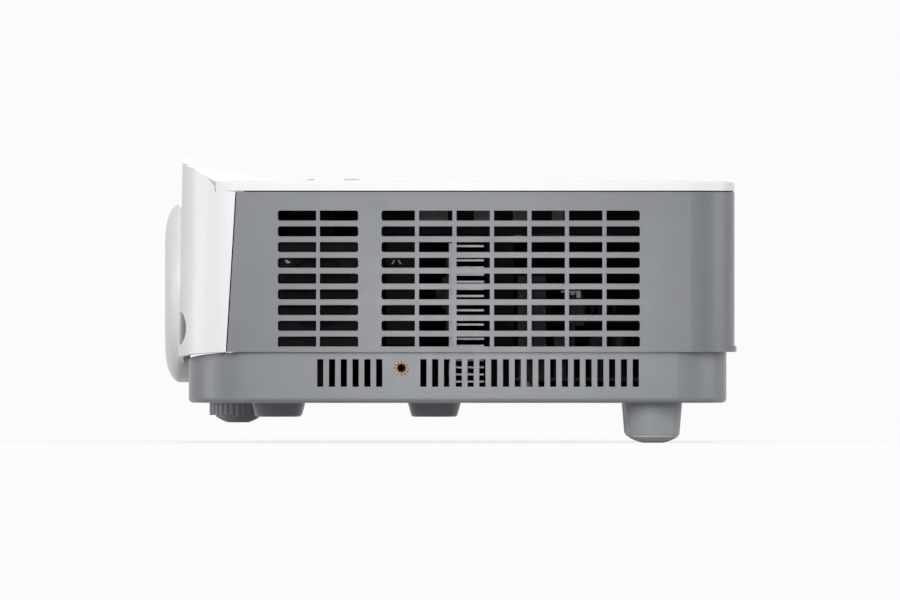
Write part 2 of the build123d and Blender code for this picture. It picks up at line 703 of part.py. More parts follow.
def glass(x, bulge_front, bulge_back):
    """A round lens with two bulging faces."""
    radius = bore - snug_gap

    def face_arc(rim_x, bulge):
        """Half of one face: an arc from the rim to its tip on the axis."""
        curve = (radius ** 2 + bulge ** 2) / (2 * bulge)
        sag = abs(curve) - sqrt(curve ** 2 - (radius / 2) ** 2)
        tip_x = rim_x + bulge
        half_way_x = tip_x - sag * bulge / abs(bulge)
        return ThreePointArc((rim_x, 0, radius), (half_way_x, 0, radius / 2), (tip_x, 0, 0))

    rim_x = x + glass_thickness
    straight = [Line((x, 0, radius), (rim_x, 0, radius)),
                Line((x - bulge_front, 0, 0), (rim_x + bulge_back, 0, 0))]
    outline = make_face([face_arc(x, -bulge_front), face_arc(rim_x, bulge_back), *straight])
    return Pos(0, 0, axis_z) * revolve(outline, Axis.X)


lenses = [glass(front_glass_x, 2.6, 0.6), glass(rear_glass_x, 0.6, 2.0)]
save(Compound(lenses), "lens_elements")

ring_x0 = bezel_front_x + 1.2
ring_x1 = ring_x0 + focus_ring_length
nose_radius = barrel_radius + mount_wall - 1.5
nose_length = 5.0
ring = tube_x(ring_x0, ring_x1, 0, axis_z, focus_ring_radius, barrel_radius + body_gap)
ring -= rod_x(ring_x1 - nose_length, ring_x1 + 1, 0, axis_z, nose_radius + running_gap)
grip_count = 48
grip_x0 = ring_x0 + 1.5
for k in range(grip_count):
    angle = 2 * pi * k / grip_count
    ring -= rod_x(grip_x0, grip_x0 + 9, (focus_ring_radius + 0.35) * cos(angle),
                  axis_z + (focus_ring_radius + 0.35) * sin(angle), 0.9)
save(ring, "focus_ring")

chamber_x0 = panel_x - 11.0
mount_x0 = ring_x1 - nose_length + body_gap
shoulder_x = ring_x1 + body_gap
plate_thickness = 3.0
mount_plate_half = 40.0
lens_mount = tube_x(mount_x0, shoulder_x + 1, 0, axis_z, nose_radius, barrel_radius + running_gap)
lens_mount += tube_x(shoulder_x, chamber_x0 - body_gap, 0, axis_z, barrel_radius + mount_wall,
                     barrel_radius + running_gap)
mount_plate = block(chamber_x0 - plate_thickness, chamber_x0, -mount_plate_half, mount_plate_half,
                    axis_z - 28, axis_z + 28)
lens_mount += mount_plate - rod_x(chamber_x0 - 10, chamber_x0 + 1, 0, axis_z, barrel_radius + running_gap)
save(lens_mount, "lens_mount")

# ---------------------------------------------------------------- light engine
swing = sin(radians(carrier_tilt)) * (panel_height / 2 + carrier_border) + panel_thickness + 1.0
chamber_half_y = panel_width / 2 + carrier_border + 1.0 + chamber_wall
chamber_half_z = panel_height / 2 + carrier_border + 4.0 + chamber_wall
chamber_x1 = panel_x + swing + chamber_wall + 2.0
tunnel_half_y = panel_width / 2 - 4
tunnel_half_z = loader_z0 - axis_z - 3.0
chamber = block(chamber_x0, chamber_x1, -chamber_half_y, chamber_half_y,
                axis_z - chamber_half_z, axis_z + chamber_half_z)
chamber -= block(chamber_x0 + chamber_wall, chamber_x1 - chamber_wall,
                 -chamber_half_y + chamber_wall, chamber_half_y - chamber_wall,
                 axis_z - chamber_half_z + chamber_wall, axis_z + chamber_half_z - chamber_wall)


def frustum(x0, half_y0, half_z0, x1, half_y1, half_z1):
    start = Plane(origin=(x0, 0, axis_z), x_dir=(0, 1, 0), z_dir=(1, 0, 0))
    end = Plane(origin=(x1, 0, axis_z), x_dir=(0, 1, 0), z_dir=(1, 0, 0))
    ends = [start * Rectangle(2 * half_y0, 2 * half_z0), end * Rectangle(2 * half_y1, 2 * half_z1)]
    return loft(ends, ruled=True)


tunnel_outer = frustum(chamber_x1 - 0.5, tunnel_half_y, tunnel_half_z,
                       tunnel_end_x, tunnel_end_half, tunnel_end_half)
tunnel_inner = frustum(chamber_x1 - chamber_wall - 0.5, tunnel_half_y - 2, tunnel_half_z - 2,
                       tunnel_end_x + 0.5, tunnel_end_half - 2, tunnel_end_half - 2)
engine = chamber + tunnel_outer - tunnel_inner
engine -= rod_x(chamber_x0 - 1, chamber_x0 + chamber_wall + 1, 0, axis_z, 32.0)
pivot_radius = 2.0
engine -= rod_y(panel_x, -chamber_half_y - 1, chamber_half_y + 1, axis_z, pivot_radius + running_gap)
engine -= block(panel_x - lever_half_length / 1.6, panel_x + lever_half_length / 1.6, -3, 3,
                axis_z + chamber_half_z - chamber_wall - 1, axis_z + chamber_half_z + 1)
for x, y in engine_posts:
    engine += rod_z(x, y, engine_foot_z, axis_z - chamber_half_z + 0.5, 5.0)
save(engine, "engine_housing")

fresnel_x = chamber_x1 - chamber_wall - 2.0
condenser_half_y = chamber_half_y - chamber_wall - snug_gap
condenser_half_z = chamber_half_z - chamber_wall - snug_gap
condenser = block(fresnel_x, fresnel_x + 2.0, -condenser_half_y, condenser_half_y,
                  axis_z - condenser_half_z, axis_z + condenser_half_z)
save(condenser, "condenser_lens")

# tilting carrier with its keystone lever
half_y = panel_width / 2
half_z = panel_height / 2
carrier_half_y = half_y + carrier_border
carrier_half_z = half_z + carrier_border
carrier = block(panel_x - panel_thickness / 2, panel_x + panel_thickness / 2, -carrier_half_y, carrier_half_y,
                axis_z - carrier_half_z, axis_z + carrier_half_z)
carrier -= block(panel_x - 5, panel_x + 5, -half_y, half_y, axis_z - half_z, axis_z + half_z)
pin_end = chamber_half_y - 0.2
for side in (-1, 1):
    y0, y1 = sorted((side * (half_y + carrier_border - 0.5), side * pin_end))
    carrier += rod_y(panel_x, y0, y1, axis_z, pivot_radius)
lever_z0 = axis_z + half_z + carrier_border - 0.5
carrier += block(panel_x - 1.5, panel_x + 1.5, -1.8, 1.8, lever_z0, lever_height)
thumb_clear = 0.95          # the lever's edges dip by 0.7 as it tilts
thumb = block(panel_x - 3.5, panel_x + 3.5, -6.0, 6.0, cover_top_z + thumb_clear, lever_height)
thumb = fillet(thumb.edges().group_by(Axis.Z)[-1], 0.8)
carrier += thumb
save(carrier, "lcd_carrier")
lcd_half_x = panel_thickness / 2 - 0.4
lcd = block(panel_x - lcd_half_x, panel_x + lcd_half_x, -half_y + snug_gap, half_y - snug_gap,
            axis_z - half_z + snug_gap, axis_z + half_z - snug_gap)
save(lcd, "lcd_panel")

# lamp: a star board with its chip and collimator on the heat sink's base
star_half = 20.0
chip_half = 8.0
led = block(sink_x - board_thickness, sink_x, -star_half, star_half, axis_z - star_half, axis_z + star_half)
led += block(sink_x - 4.0, sink_x - 1.0, -chip_half, chip_half, axis_z - chip_half, axis_z + chip_half)
led += along_x([(sink_x - 11.5, 0), (sink_x - 11.5, 6.0), (sink_x - 9.5, 10.0), (sink_x - 6.5, 11.5),
                (sink_x - 3.5, 11.5), (sink_x - 3.5, 0)], 0, axis_z)
save(led, "led_module")

sink_half_z = fin_pitch * (fin_count - 1) / 2 + 1.5
sink = block(sink_x, sink_x + sink_base, sink_y0, sink_y1, sink_z - sink_half_z, sink_z + sink_half_z)
for k in range(fin_count):
    z = sink_z + (k - (fin_count - 1) / 2) * fin_pitch
    sink += block(sink_x + sink_base - 0.2, sink_x + sink_base + fin_depth, sink_y0, sink_y1,
                  z - fin_thickness / 2, z + fin_thickness / 2)
# two feet carry the heat sink on the floor
for y in (sink_y0 + 12, sink_y1 - 6):
    sink += block(sink_x, sink_x + sink_base, y - 5, y + 5, floor_z, sink_z - sink_half_z + 0.5)
save(sink, "heat_sink")


# ---------------------------------------------------------------- fans
def fan(x0, y):
    """Frame and rotor of an axial fan that blows along X."""
    half = fan_size / 2
    frame = block(x0, x0 + fan_depth, y - half, y + half, axis_z - half, axis_z + half)
    duct = half - 1.5
    frame -= rod_x(x0 - 1, x0 + fan_depth + 1, y, axis_z, duct)
    back = x0 + fan_depth - 2.0
    frame += rod_x(back, x0 + fan_depth, y, axis_z, fan_hub)
    for k in range(4):
        arm = block(back, x0 + fan_depth, y - 1.5, y + 1.5,
                    axis_z + fan_hub - 1, axis_z + duct + 0.5)
        frame += Pos(0, y, axis_z) * Rot(45 + 90 * k, 0, 0) * Pos(0, -y, -axis_z) * arm
    shaft_r = 1.5
    frame -= rod_x(back - 1, x0 + fan_depth - 0.8, y, axis_z, shaft_r + running_gap)
    for sy in (-1, 1):
        for sz in (-1, 1):
            frame -= rod_x(x0 - 1, x0 + fan_depth + 1, y + sy * (half - 3.6), axis_z + sz * (half - 3.6), 1.7)
    hub_x1 = back - 0.5
    rotor = rod_x(x0 + 1.0, hub_x1, y, axis_z, fan_hub) + rod_x(hub_x1 - 1, hub_x1 + 1.6, y, axis_z, shaft_r)
    blade_r = duct - 0.8
    for k in range(fan_blades):
        blade = Pos((x0 + 1 + hub_x1) / 2, y, axis_z + (fan_hub + blade_r) / 2 - 0.4) \
            * Rot(0, 0, 38) * Box(fan_depth * 0.82, 1.4, blade_r - fan_hub + 0.8)
        rotor += Pos(0, y, axis_z) * Rot(360 * k / fan_blades, 0, 0) * Pos(0, -y, -axis_z) * blade
    keep = tube_x(x0 + 0.8, hub_x1, y, axis_z, blade_r, fan_hub - 0.5)
    keep += rod_x(x0 + 0.8, hub_x1 + 1.6, y, axis_z, fan_hub)
    return frame, rotor & keep


def fan_stand(x0, y):
    """A foot under a fan frame, down to the floor."""
    half = fan_size / 2
    return block(x0 + 2, x0 + fan_depth - 2, y - half + 8, y + half - 8, floor_z, axis_z - half + 0.5)


exhaust_x = sink_x + sink_base + fin_depth + 1.0
exhaust_y = (sink_y0 + sink_y1) / 2
intake_x = sink_x - 31.5
intake_y = sink_y0 + fan_size / 2 + 2.0
frame_shape, rotor_shape = fan(exhaust_x, exhaust_y)
save(frame_shape + fan_stand(exhaust_x, exhaust_y), "exhaust_fan_frame")
save(rotor_shape, "exhaust_fan_rotor")
frame_shape, rotor_shape = fan(intake_x, intake_y)
save(frame_shape + fan_stand(intake_x, intake_y), "intake_fan_frame")
save(rotor_shape, "intake_fan_rotor")

# ---------------------------------------------------------------- boards
def with_components(board, corner_x, corner_y, top, blocks, cans):
    """Add blocks and round cans to a board, placed from one of its corners."""
    for x, y, length, depth, height in blocks:
        board += block(corner_x + x, corner_x + x + length, corner_y + y, corner_y + y + depth,
                       top - 0.1, top + height)
    for x, y, radius, height in cans:
        board += rod_z(corner_x + x, corner_y + y, top - 0.1, top + height, radius)
    return board


supply = block(supply_x0, supply_x1, supply_y0, supply_y1, supply_z, supply_z + board_thickness)
supply_top = supply_z + board_thickness
# transformer, filter, cooling plate and choke; small capacitors
supply = with_components(supply, supply_x0, supply_y0, supply_top,
                         [(1.4, 4, 14, 30, 51), (19.4, 6, 6, 24, 22), (27.9, 4, 2, 40, 43.5),
                          (37.4, 30, 22, 26, 24)],
                         [(21.4, 58, 5, 18), (9.4, 58, 5, 18)])
# large capacitors at the socket end
supply = with_components(supply, supply_x1, supply_y0, supply_top, [],
                         [(-13, 16, 9, 30), (-33, 12, 6, 22), (-5, 46, 7, 26)])
# a transistor on the cooling plate
supply += block(supply_x0 + 29.8, supply_x0 + 34.4, supply_y0 + 8, supply_y0 + 18,
                supply_top + 26, supply_top + 42)
for x, y in supply_posts:
    supply -= rod_z(x, y, supply_z + 0.4, supply_z + 3, 1.5)
save(supply, "power_supply_board")

main = block(main_x0, main_x1, main_y0, main_y1, main_z, main_z + board_thickness)
main_top = main_z + board_thickness
# processor, memory and a connector; capacitors
main = with_components(main, main_x0, main_y0, main_top,
                       [(24, 36, 24, 24, 2), (8, 68, 10, 14, 1.4), (0, 20, 6, 30, 6)],
                       [(14, 30, 4, 9), (14, 100, 4, 9)])
main = with_components(main, main_x1, main_y0, main_top,
                       [(-42, 40, 14, 12, 1.4)], [(-24, 20, 4, 9), (-24, 32, 4, 9), (-36, 20, 4, 9)])
# fins on the processor
fin_step = 3.7
for k in range(7):
    x = main_x0 + 24 + k * fin_step
    main += block(x, x + 1.6, main_y0 + 36, main_y0 + 60, main_top + 1.5, main_top + 9)
for x, y in main_posts:
    main -= rod_z(x, y, main_z + 0.4, main_z + 3, 1.5)
save(main, "main_board")

# two oval speakers against the front slots
speaker_parts = []
speaker_x = front_group_x + front_slot_pitch / 2
basket_half_x = 21.0
basket_half_z = 27.3
for side in (-1, 1):
    face_y = side * (side_half - wall - 0.5)
    back_y = face_y - side * 5
    y0, y1 = sorted((face_y, back_y))
    basket = block(speaker_x - basket_half_x, speaker_x + basket_half_x, y0, y1,
                   axis_z - basket_half_z, axis_z + basket_half_z)
    cone_y0, cone_y1 = sorted((face_y + side, face_y - side * 3.5))
    basket -= rod_y(speaker_x, cone_y0, cone_y1, axis_z, 18.0)
    dome_y0, dome_y1 = sorted((back_y + side * 1.0, back_y + side * 3.0))
    basket += rod_y(speaker_x, dome_y0, dome_y1, axis_z, 6.0)
    magnet_y0, magnet_y1 = sorted((back_y + side * 0.2, back_y - side * 16))
    basket += rod_y(speaker_x, magnet_y0, magnet_y1, axis_z, 14.0)
    leg_y0, leg_y1 = sorted((back_y, back_y - side * 5))
    basket += block(speaker_x - 6, speaker_x + 6, leg_y0, leg_y1, floor_z, axis_z - 10)
    speaker_parts.append(basket & block(-200, 200, -side_half + wall + 0.4, side_half - wall - 0.4, 0, 200))
speakers = Compound([s for part in speaker_parts for s in part.solids()])
save(speakers, "speakers")

# ---------------------------------------------------------------- socket panel and sockets
io_x0 = side_rear_x - wall - 2.2
io_x1 = side_rear_x - wall - snug_gap
io_depth = 14.0
low_row_z = main_z + board_thickness + 5.0
high_row_z = low_row_z + 18.0
column = panel_half / 22       # sockets stand on a grid of columns
hdmi_places = [(14.5 * column, low_row_z), (8 * column, low_row_z)]
usb_places = [(14.5 * column, high_row_z), (8 * column, high_row_z)]
hdmi_size = (15.0, 5.6)
usb_size = (13.2, 5.8)
av_places = [(19 * column, low_row_z), (19 * column, high_row_z), (2 * column, high_row_z)]
vga_place = (column, low_row_z)
inlet_y, inlet_z = -15 * column, 73.5
inlet_half_y, inlet_half_z = 13.7, 10.0
rocker_y, rocker_z = -8 * column, 73.5
rocker_half_y, rocker_half_z = 6.5, 9.5
shell_wall = 0.7


def opening_at(y, z, width, height, x0, x1):
    return block(x0, x1, y - width / 2, y + width / 2, z - height / 2, z + height / 2)


panel = block(io_x0, io_x1, -panel_half, panel_half, panel_z0, panel_z1)
for y, z in hdmi_places:
    panel -= opening_at(y, z, hdmi_size[0] + 2 * snug_gap, hdmi_size[1] + 2 * snug_gap, io_x0 - 1, io_x1 + 1)
for y, z in usb_places:
    panel -= opening_at(y, z, usb_size[0] + 2 * snug_gap, usb_size[1] + 2 * snug_gap, io_x0 - 1, io_x1 + 1)
av_radius = 4.2
for y, z in av_places:
    panel -= rod_x(io_x0 - 1, io_x1 + 1, y, z, av_radius + snug_gap)
vga_width, vga_height = 17.0, 8.6
panel -= opening_at(*vga_place, vga_width + 2 * snug_gap, vga_height + 2 * snug_gap, io_x0 - 1, io_x1 + 1)
panel -= opening_at(inlet_y, inlet_z, 2 * (inlet_half_y + snug_gap), 2 * (inlet_half_z + snug_gap),
                    io_x0 - 1, io_x1 + 1)
panel -= opening_at(rocker_y, rocker_z, 2 * (rocker_half_y + body_gap), 2 * (rocker_half_z + body_gap),
                    io_x0 - 1, io_x1 + 1)
# rocker bearings behind the panel
bearing_x0 = io_x0 - 9.0
bearing_y = rocker_half_y + 2 * body_gap
bearing_thickness = 1.6
for side in (-1, 1):
    y0, y1 = sorted((rocker_y + side * bearing_y, rocker_y + side * (bearing_y + bearing_thickness)))
    panel += block(bearing_x0, io_x0 + 0.2, y0, y1, rocker_z - 5, rocker_z + 5)
rocker_pivot_x = io_x0 - 4.0
panel -= rod_y(rocker_pivot_x, rocker_y - 20, rocker_y + 20, rocker_z, 1.5 + running_gap)
save(panel, "socket_panel")


def shell(y, z, width, height, tongue_z, tongue_height):
    """A metal socket shell, open at the rear, with its tongue."""
    x0 = io_x1 - io_depth
    shape = opening_at(y, z, width, height, x0, io_x1 + 0.3)
    shape -= opening_at(y, z, width - 2 * shell_wall, height - 2 * shell_wall, x0 + 1.5, io_x1 + 1)
    shape += opening_at(y, z + tongue_z, width - 4.0, tongue_height, x0 + 1.0, io_x1 - 1.5)
    return shape


digital = [shell(y, z, *hdmi_size, 0.0, 0.9) for y, z in hdmi_places]
digital += [shell(y, z, *usb_size, 0.9, 1.2) for y, z in usb_places]
save(Compound(digital), "digital_sockets")

vga = opening_at(vga_place[0], vga_place[1], vga_width, vga_height, io_x1 - io_depth, io_x1 + 1.2)
vga = fillet(vga.edges().filter_by(Axis.X), 2.4)
vga -= opening_at(vga_place[0], vga_place[1], vga_width - 2, vga_height - 2, io_x1 - 5, io_x1 + 2)
save(vga, "vga_socket")

av = []
for y, z in av_places:
    av.append(tube_x(io_x1 - io_depth, io_x1 + 1.2, y, z, av_radius, jack_hole))
save(Compound(av), "av_sockets")

inlet_depth = 20.0
inlet = opening_at(inlet_y, inlet_z, 2 * inlet_half_y, 2 * inlet_half_z, io_x1 - inlet_depth, io_x1)
inlet_flange = 1.6
inlet += opening_at(inlet_y, inlet_z, 2 * (inlet_half_y + inlet_flange), 2 * (inlet_half_z + inlet_flange),
                    io_x0 - 2.0, io_x0 - snug_gap)
well_floor_x = io_x1 - inlet_depth + 3
inlet -= opening_at(inlet_y, inlet_z, 2 * inlet_half_y - 3, 2 * inlet_half_z - 3, well_floor_x, io_x1 + 1)
blade_size = (2.0, 4.0)
blade_places = [(inlet_y - 7.0, inlet_z - 2.0), (inlet_y + 7.0, inlet_z - 2.0), (inlet_y, inlet_z + 2.0)]
for y, z in blade_places:
    inlet -= opening_at(y, z, blade_size[0] + 2 * snug_gap, blade_size[1] + 2 * snug_gap,
                        io_x1 - inlet_depth - 1, well_floor_x + 1)
save(inlet, "ac_inlet")
blades = [opening_at(y, z, *blade_size, io_x1 - inlet_depth - 3, io_x1 - 4) for y, z in blade_places]
save(Compound(blades), "ac_inlet_pins")

# power rocker: a cap on a pivot along Y, pressed at its lower end while it is off
rocker_tilt = 8.0
rocker_depth = io_x1 + 1.6 - rocker_pivot_x
cap = block(-2.0, rocker_depth, -rocker_half_y, rocker_half_y, -rocker_half_z + 0.6, rocker_half_z - 0.6)
cap &= rod_y(0, -rocker_half_y, rocker_half_y, 0, rocker_half_z - 0.1)
cap = Rot(0, rocker_tilt, 0) * cap
pin_reach = bearing_y + bearing_thickness - 0.2
cap += rod_y(0, -pin_reach, pin_reach, 0, 1.5)
save(Pos(rocker_pivot_x, rocker_y, rocker_z) * cap, "power_rocker")

# headphone jack in the near side of the base
jack_y0 = -base_half - 0.6
jack_wall_y = -base_half + wall
jack_sleeve = jack_hole + 0.6
bushing = rod_y(jack_x, jack_y0 + 0.2, jack_wall_y + 3, jack_z, bushing_radius)
bushing += rod_y(jack_x, jack_y0, -base_half - snug_gap, jack_z, bushing_radius + 0.4)
bushing -= rod_y(jack_x, jack_y0 - 1, jack_wall_y + 4, jack_z, jack_sleeve)
save(bushing, "jack_bushing")
socket_y0 = jack_y0 + 0.5
jack_body_half = 5.5
jack_body_end = jack_wall_y + 15.0
socket = rod_y(jack_x, socket_y0, jack_wall_y + 4, jack_z, jack_sleeve - snug_gap)
socket += block(jack_x - jack_body_half, jack_x + jack_body_half, jack_wall_y + 3 + snug_gap, jack_body_end,
                floor_z, jack_z + 4.5)
socket -= rod_y(jack_x, socket_y0 - 1, jack_body_end - 2, jack_z, jack_hole)
save(socket, "headphone_jack")

# ---------------------------------------------------------------- disc loader
rail_gap = 0.3
tray_x0 = loader_x - tray_width / 2
tray_x1 = loader_x + tray_width / 2
loader_floor = 1.2
loader = block(loader_x0, loader_x1, loader_y0, loader_y1, loader_z0, loader_z1)
loader -= block(loader_x0 + loader_wall, loader_x1 - loader_wall, loader_y0 + loader_wall, loader_y1 + 1,
                loader_z0 + loader_floor, loader_z1 + 1)
rail_top = tray_z1 + rail_gap + 1.6
for side in (-1, 1):
    edge = loader_x + side * (tray_width / 2)
    outer = loader_x + side * (loader_width / 2 - loader_wall + 0.1)
    x0, x1 = sorted((edge + side * rail_gap, outer))
    loader += block(x0, x1, loader_y0 + 1, loader_y1, loader_z0 + 0.5, rail_top)
    x0, x1 = sorted((edge - side * 3.0, outer))
    loader += block(x0, x1, loader_y0 + 1, loader_y1, loader_z0 + 0.5, tray_z0 - rail_gap)
    x0, x1 = sorted((edge - side * 2.0, outer))
    loader += block(x0, x1, loader_y0 + 1, loader_y1, tray_z1 + rail_gap, rail_top)
for x, y in ear_places:
    side = 1 if x > loader_x else -1
    x0, x1 = sorted((x - side * 4.5, loader_x + side * (loader_width / 2)))
    loader += block(x0, x1, y - 4.5, y + 4.5, loader_z1 - 2.5, loader_z1)
# window in the loader's floor for the traverse
traverse_half = 34.0
traverse_y0 = disc_y - 86.0
traverse_y1 = disc_y + 22.0
loader -= block(loader_x - traverse_half - 1, loader_x + traverse_half + 1, traverse_y0 - 4, traverse_y1 + 2,
                loader_z0 - 1, loader_z0 + loader_floor + 0.5)
# rack and gear places
rack_line_x = loader_x + tray_width / 2 - 14.0
pinion_r = gear_module * pinion_teeth / 2
small_r = gear_module * small_teeth / 2
pinion_x = rack_line_x - pinion_r
gear_z0 = tray_z0 - 2.6
gear_z1 = tray_z0 - rail_gap
gear_post = 1.5
pulley_gear_x = pinion_x - (pinion_r + small_r) * cos(radians(20))
pulley_gear_y = pinion_y + (pinion_r + small_r) * sin(radians(20))
motor_x = pulley_gear_x - 34.0
motor_y = pulley_gear_y
for x, y in ((pinion_x, pinion_y), (pulley_gear_x, pulley_gear_y)):
    loader += rod_z(x, y, loader_z0 + 0.2, gear_z1, gear_post)
loader -= rod_z(motor_x, motor_y, loader_z0 - 1, loader_z0 + loader_floor + 1, motor_pulley_radius + 1.5)
# traverse pivot ears and the bridge's seats
pivot_z = loader_z0 + 2.6
pivot_y = traverse_y0
for side in (-1, 1):
    x0, x1 = sorted((loader_x + side * (traverse_half + 1.0), loader_x + side * (traverse_half + 4.0)))
    ear_block = block(x0, x1, pivot_y - 3, pivot_y + 3, loader_z0 + 0.2, pivot_z + 2.4)
    loader += ear_block
for side in (-1, 1):
    x0, x1 = sorted((loader_x + side * (traverse_half + 0.5), loader_x + side * (traverse_half + 4.5)))
    loader -= rod_x(x0, x1, pivot_y, pivot_z, 1.5 + running_gap)
save(loader, "loader_chassis")

# tray with a disc well and a window open to the rear, and a rack under its edge
tray_y0 = disc_y - 108.5
tray_y1 = side_half - wall - 1.0
tray = block(tray_x0, tray_x1, tray_y0, tray_y1, tray_z0, tray_z1)
tray -= rod_z(loader_x, disc_y, tray_z1 - disc_well_depth, tray_z1 + 1, disc_radius + 0.8)
tray -= block(loader_x - window_width / 2, loader_x + window_width / 2, tray_y0 - 1, disc_y,
              tray_z0 - 1, tray_z1 + 1)
tray -= rod_z(loader_x, disc_y, tray_z0 - 1, tray_z1 + 1, window_width / 2)
rack_depth = 3.0
rack_z0 = gear_z0
rack = block(rack_line_x + 1.2 * gear_module, rack_line_x + 1.2 * gear_module + rack_depth,
             tray_y0 + 2, pinion_y + 14, rack_z0, tray_z0 + 0.3)
tooth_pitch = pi * gear_module
first_tooth = -int((pinion_y - tray_y0 - 6) / tooth_pitch)
last_tooth = int(12 / tooth_pitch)
tip = 0.9 * gear_module
root = 1.2 * gear_module
for k in range(first_tooth, last_tooth + 1):
    y = pinion_y + (k + 0.5) * tooth_pitch
    half_line = (tooth_pitch / 2 - tooth_backlash / 2) / 2
    slant = tan(radians(20))
    foot = root + 0.2
    tooth = Polyline((rack_line_x - tip, y - half_line + tip * slant),
                     (rack_line_x - tip, y + half_line - tip * slant),
                     (rack_line_x + foot, y + half_line + foot * slant),
                     (rack_line_x + foot, y - half_line - foot * slant), close=True)
    rack += extrude(Pos(0, 0, rack_z0) * make_face(tooth), gear_z1 - rack_z0)
tray += rack
save(tray, "disc_tray")

tray_front = block(loader_x - bezel_width / 2, loader_x + bezel_width / 2, tray_y1, side_half - 0.2,
                   bezel_z0, bezel_z1)
tray_front = fillet(tray_front.edges().filter_by(Axis.Y), 1.5)
save(tray_front, "tray_bezel")

gear_bore = gear_post + running_gap
tray_gear = involute_gear(pinion_teeth, gear_z0, gear_z1 - 0.1, pinion_x, pinion_y, 0.0, gear_bore)
save(tray_gear, "tray_pinion")

# the small gear stands in mesh with the pinion, turned half a tooth
mesh_angle = atan2(pulley_gear_y - pinion_y, pulley_gear_x - pinion_x)
small_turn = mesh_angle + pi + pi / small_teeth + mesh_angle * pinion_teeth / small_teeth
pulley_z0 = loader_z0 + loader_floor + 0.15
pulley_z1 = pulley_z0 + 0.9
step_gear = involute_gear(small_teeth, gear_z0, gear_z1 - 0.1, pulley_gear_x, pulley_gear_y,
                          small_turn, gear_bore)
step_gear += tube_z(pulley_gear_x, pulley_gear_y, pulley_z0, gear_z0 + 0.2, 3.5, gear_bore)
step_gear += tube_z(pulley_gear_x, pulley_gear_y, pulley_z0, pulley_z1, pulley_radius, gear_bore)
save(step_gear, "pulley_gear")

shaft_radius = 0.75
loading_motor = rod_z(motor_x, motor_y, loader_z0 - 15.0, loader_z0 - snug_gap, 10.0)
loading_motor += rod_z(motor_x, motor_y, loader_z0 - 1, pulley_z1 + 0.6, shaft_radius)
save(loading_motor, "loading_motor")
motor_pulley = tube_z(motor_x, motor_y, pulley_z0 - 0.4, pulley_z1 + 0.4,
                      motor_pulley_radius, shaft_radius + running_gap)
save(motor_pulley, "motor_pulley")

# belt: a flat band round both pulleys
belt_gap = 0.1


def belt_outline(extra):
    """Plan of a band round both pulleys, as a face."""
    big = Pos(pulley_gear_x, pulley_gear_y) * Circle(pulley_radius + extra)
    little = Pos(motor_x, motor_y) * Circle(motor_pulley_radius + extra)
    span = pulley_gear_x - motor_x
    lean = acos((pulley_radius - motor_pulley_radius) / span)
    corners = []
    for sign in (1, -1):
        angle = pi - sign * lean
        corners.append((pulley_gear_x + (pulley_radius + extra) * cos(angle),
                        pulley_gear_y + (pulley_radius + extra) * sin(angle)))
        corners.append((motor_x + (motor_pulley_radius + extra) * cos(angle),
                        motor_y + (motor_pulley_radius + extra) * sin(angle)))
    web = make_face(Polyline(corners[0], corners[1], corners[3], corners[2], close=True))
    return big + little + web


belt = raised(belt_outline(belt_gap + 2 * belt_radius) - belt_outline(belt_gap), pulley_z0, pulley_z1)
save(belt, "drive_belt")

# traverse: a frame on two pivots that drops to free the disc
traverse_z0 = loader_z0 + 0.6
traverse_z1 = traverse_z0 + 2.4
frame_x0 = loader_x - traverse_half
frame_x1 = loader_x + traverse_half
traverse = block(frame_x0, frame_x1, traverse_y0 - 2, traverse_y1, traverse_z0, traverse_z1)
motor_bore = 12.0
sled_y0 = disc_y - 24.0 - sled_travel - 10.0
traverse -= block(loader_x - 24, loader_x + 24, sled_y0 - 2, disc_y - motor_bore - 1.0,
                  traverse_z0 - 1, traverse_z1 + 1)
traverse -= rod_z(loader_x, disc_y, traverse_z0 - 1, traverse_z1 + 1, 5.0 + snug_gap)
for side in (-1, 1):
    x0, x1 = sorted((loader_x + side * (traverse_half - 1), loader_x + side * (traverse_half + 3.6)))
    traverse += rod_x(x0, x1, pivot_y, pivot_z, 1.5)
rod_radius = 1.0
sled_rail_x = 19.0
rail_z = traverse_z0 + 1.2
for side in (-1, 1):
    traverse -= rod_y(loader_x + side * sled_rail_x, sled_y0 - 6, disc_y - motor_bore + 3, rail_z,
                      rod_radius + snug_gap)
save(traverse, "traverse_frame")
rods = [rod_y(loader_x + side * sled_rail_x, sled_y0 - 5.9, disc_y - motor_bore + 2.9, rail_z, rod_radius)
        for side in (-1, 1)]
save(Compound(rods), "sled_rods")

spindle = rod_z(loader_x, disc_y, traverse_z0 - 2.4, traverse_z1 - 0.4, 5.0)
spindle += rod_z(loader_x, disc_y, traverse_z0 - 4.4, traverse_z0 - 0.05, motor_bore)
spindle += rod_z(loader_x, disc_y, traverse_z1 - 1, traverse_z1 + 4.0, shaft_radius)
save(spindle, "spindle_motor")

table_z = tray_z1 - disc_well_depth + 0.2
turntable = rod_z(loader_x, disc_y, table_z - 2.0, table_z, turntable_radius)
turntable += cone_z(loader_x, disc_y, table_z - 0.1, table_z + 2.2, 7.35, 6.2)
turntable -= rod_z(loader_x, disc_y, table_z - 3, traverse_z1 + 4.3, shaft_radius + running_gap)
save(turntable, "turntable")

# optical pick-up on its two rods, near the spindle at rest
sled_y1 = disc_y - motor_bore - 2.5
sled_length = 20.0
sled = block(loader_x - 22, loader_x + 22, sled_y1 - sled_length, sled_y1, traverse_z0 - 1.0, traverse_z1)
sled += block(loader_x - 10, loader_x + 10, sled_y1 - sled_length + 1, sled_y1 - 1, traverse_z0, tray_z0 + 0.6)
sled += rod_z(loader_x, sled_y1 - 8, tray_z0 + 0.3, tray_z0 + 1.4, 4.0)
for side in (-1, 1):
    sled -= rod_y(loader_x + side * sled_rail_x, sled_y1 - sled_length - 1, sled_y1 + 1, rail_z,
                  rod_radius + running_gap)
save(sled, "pickup_sled")

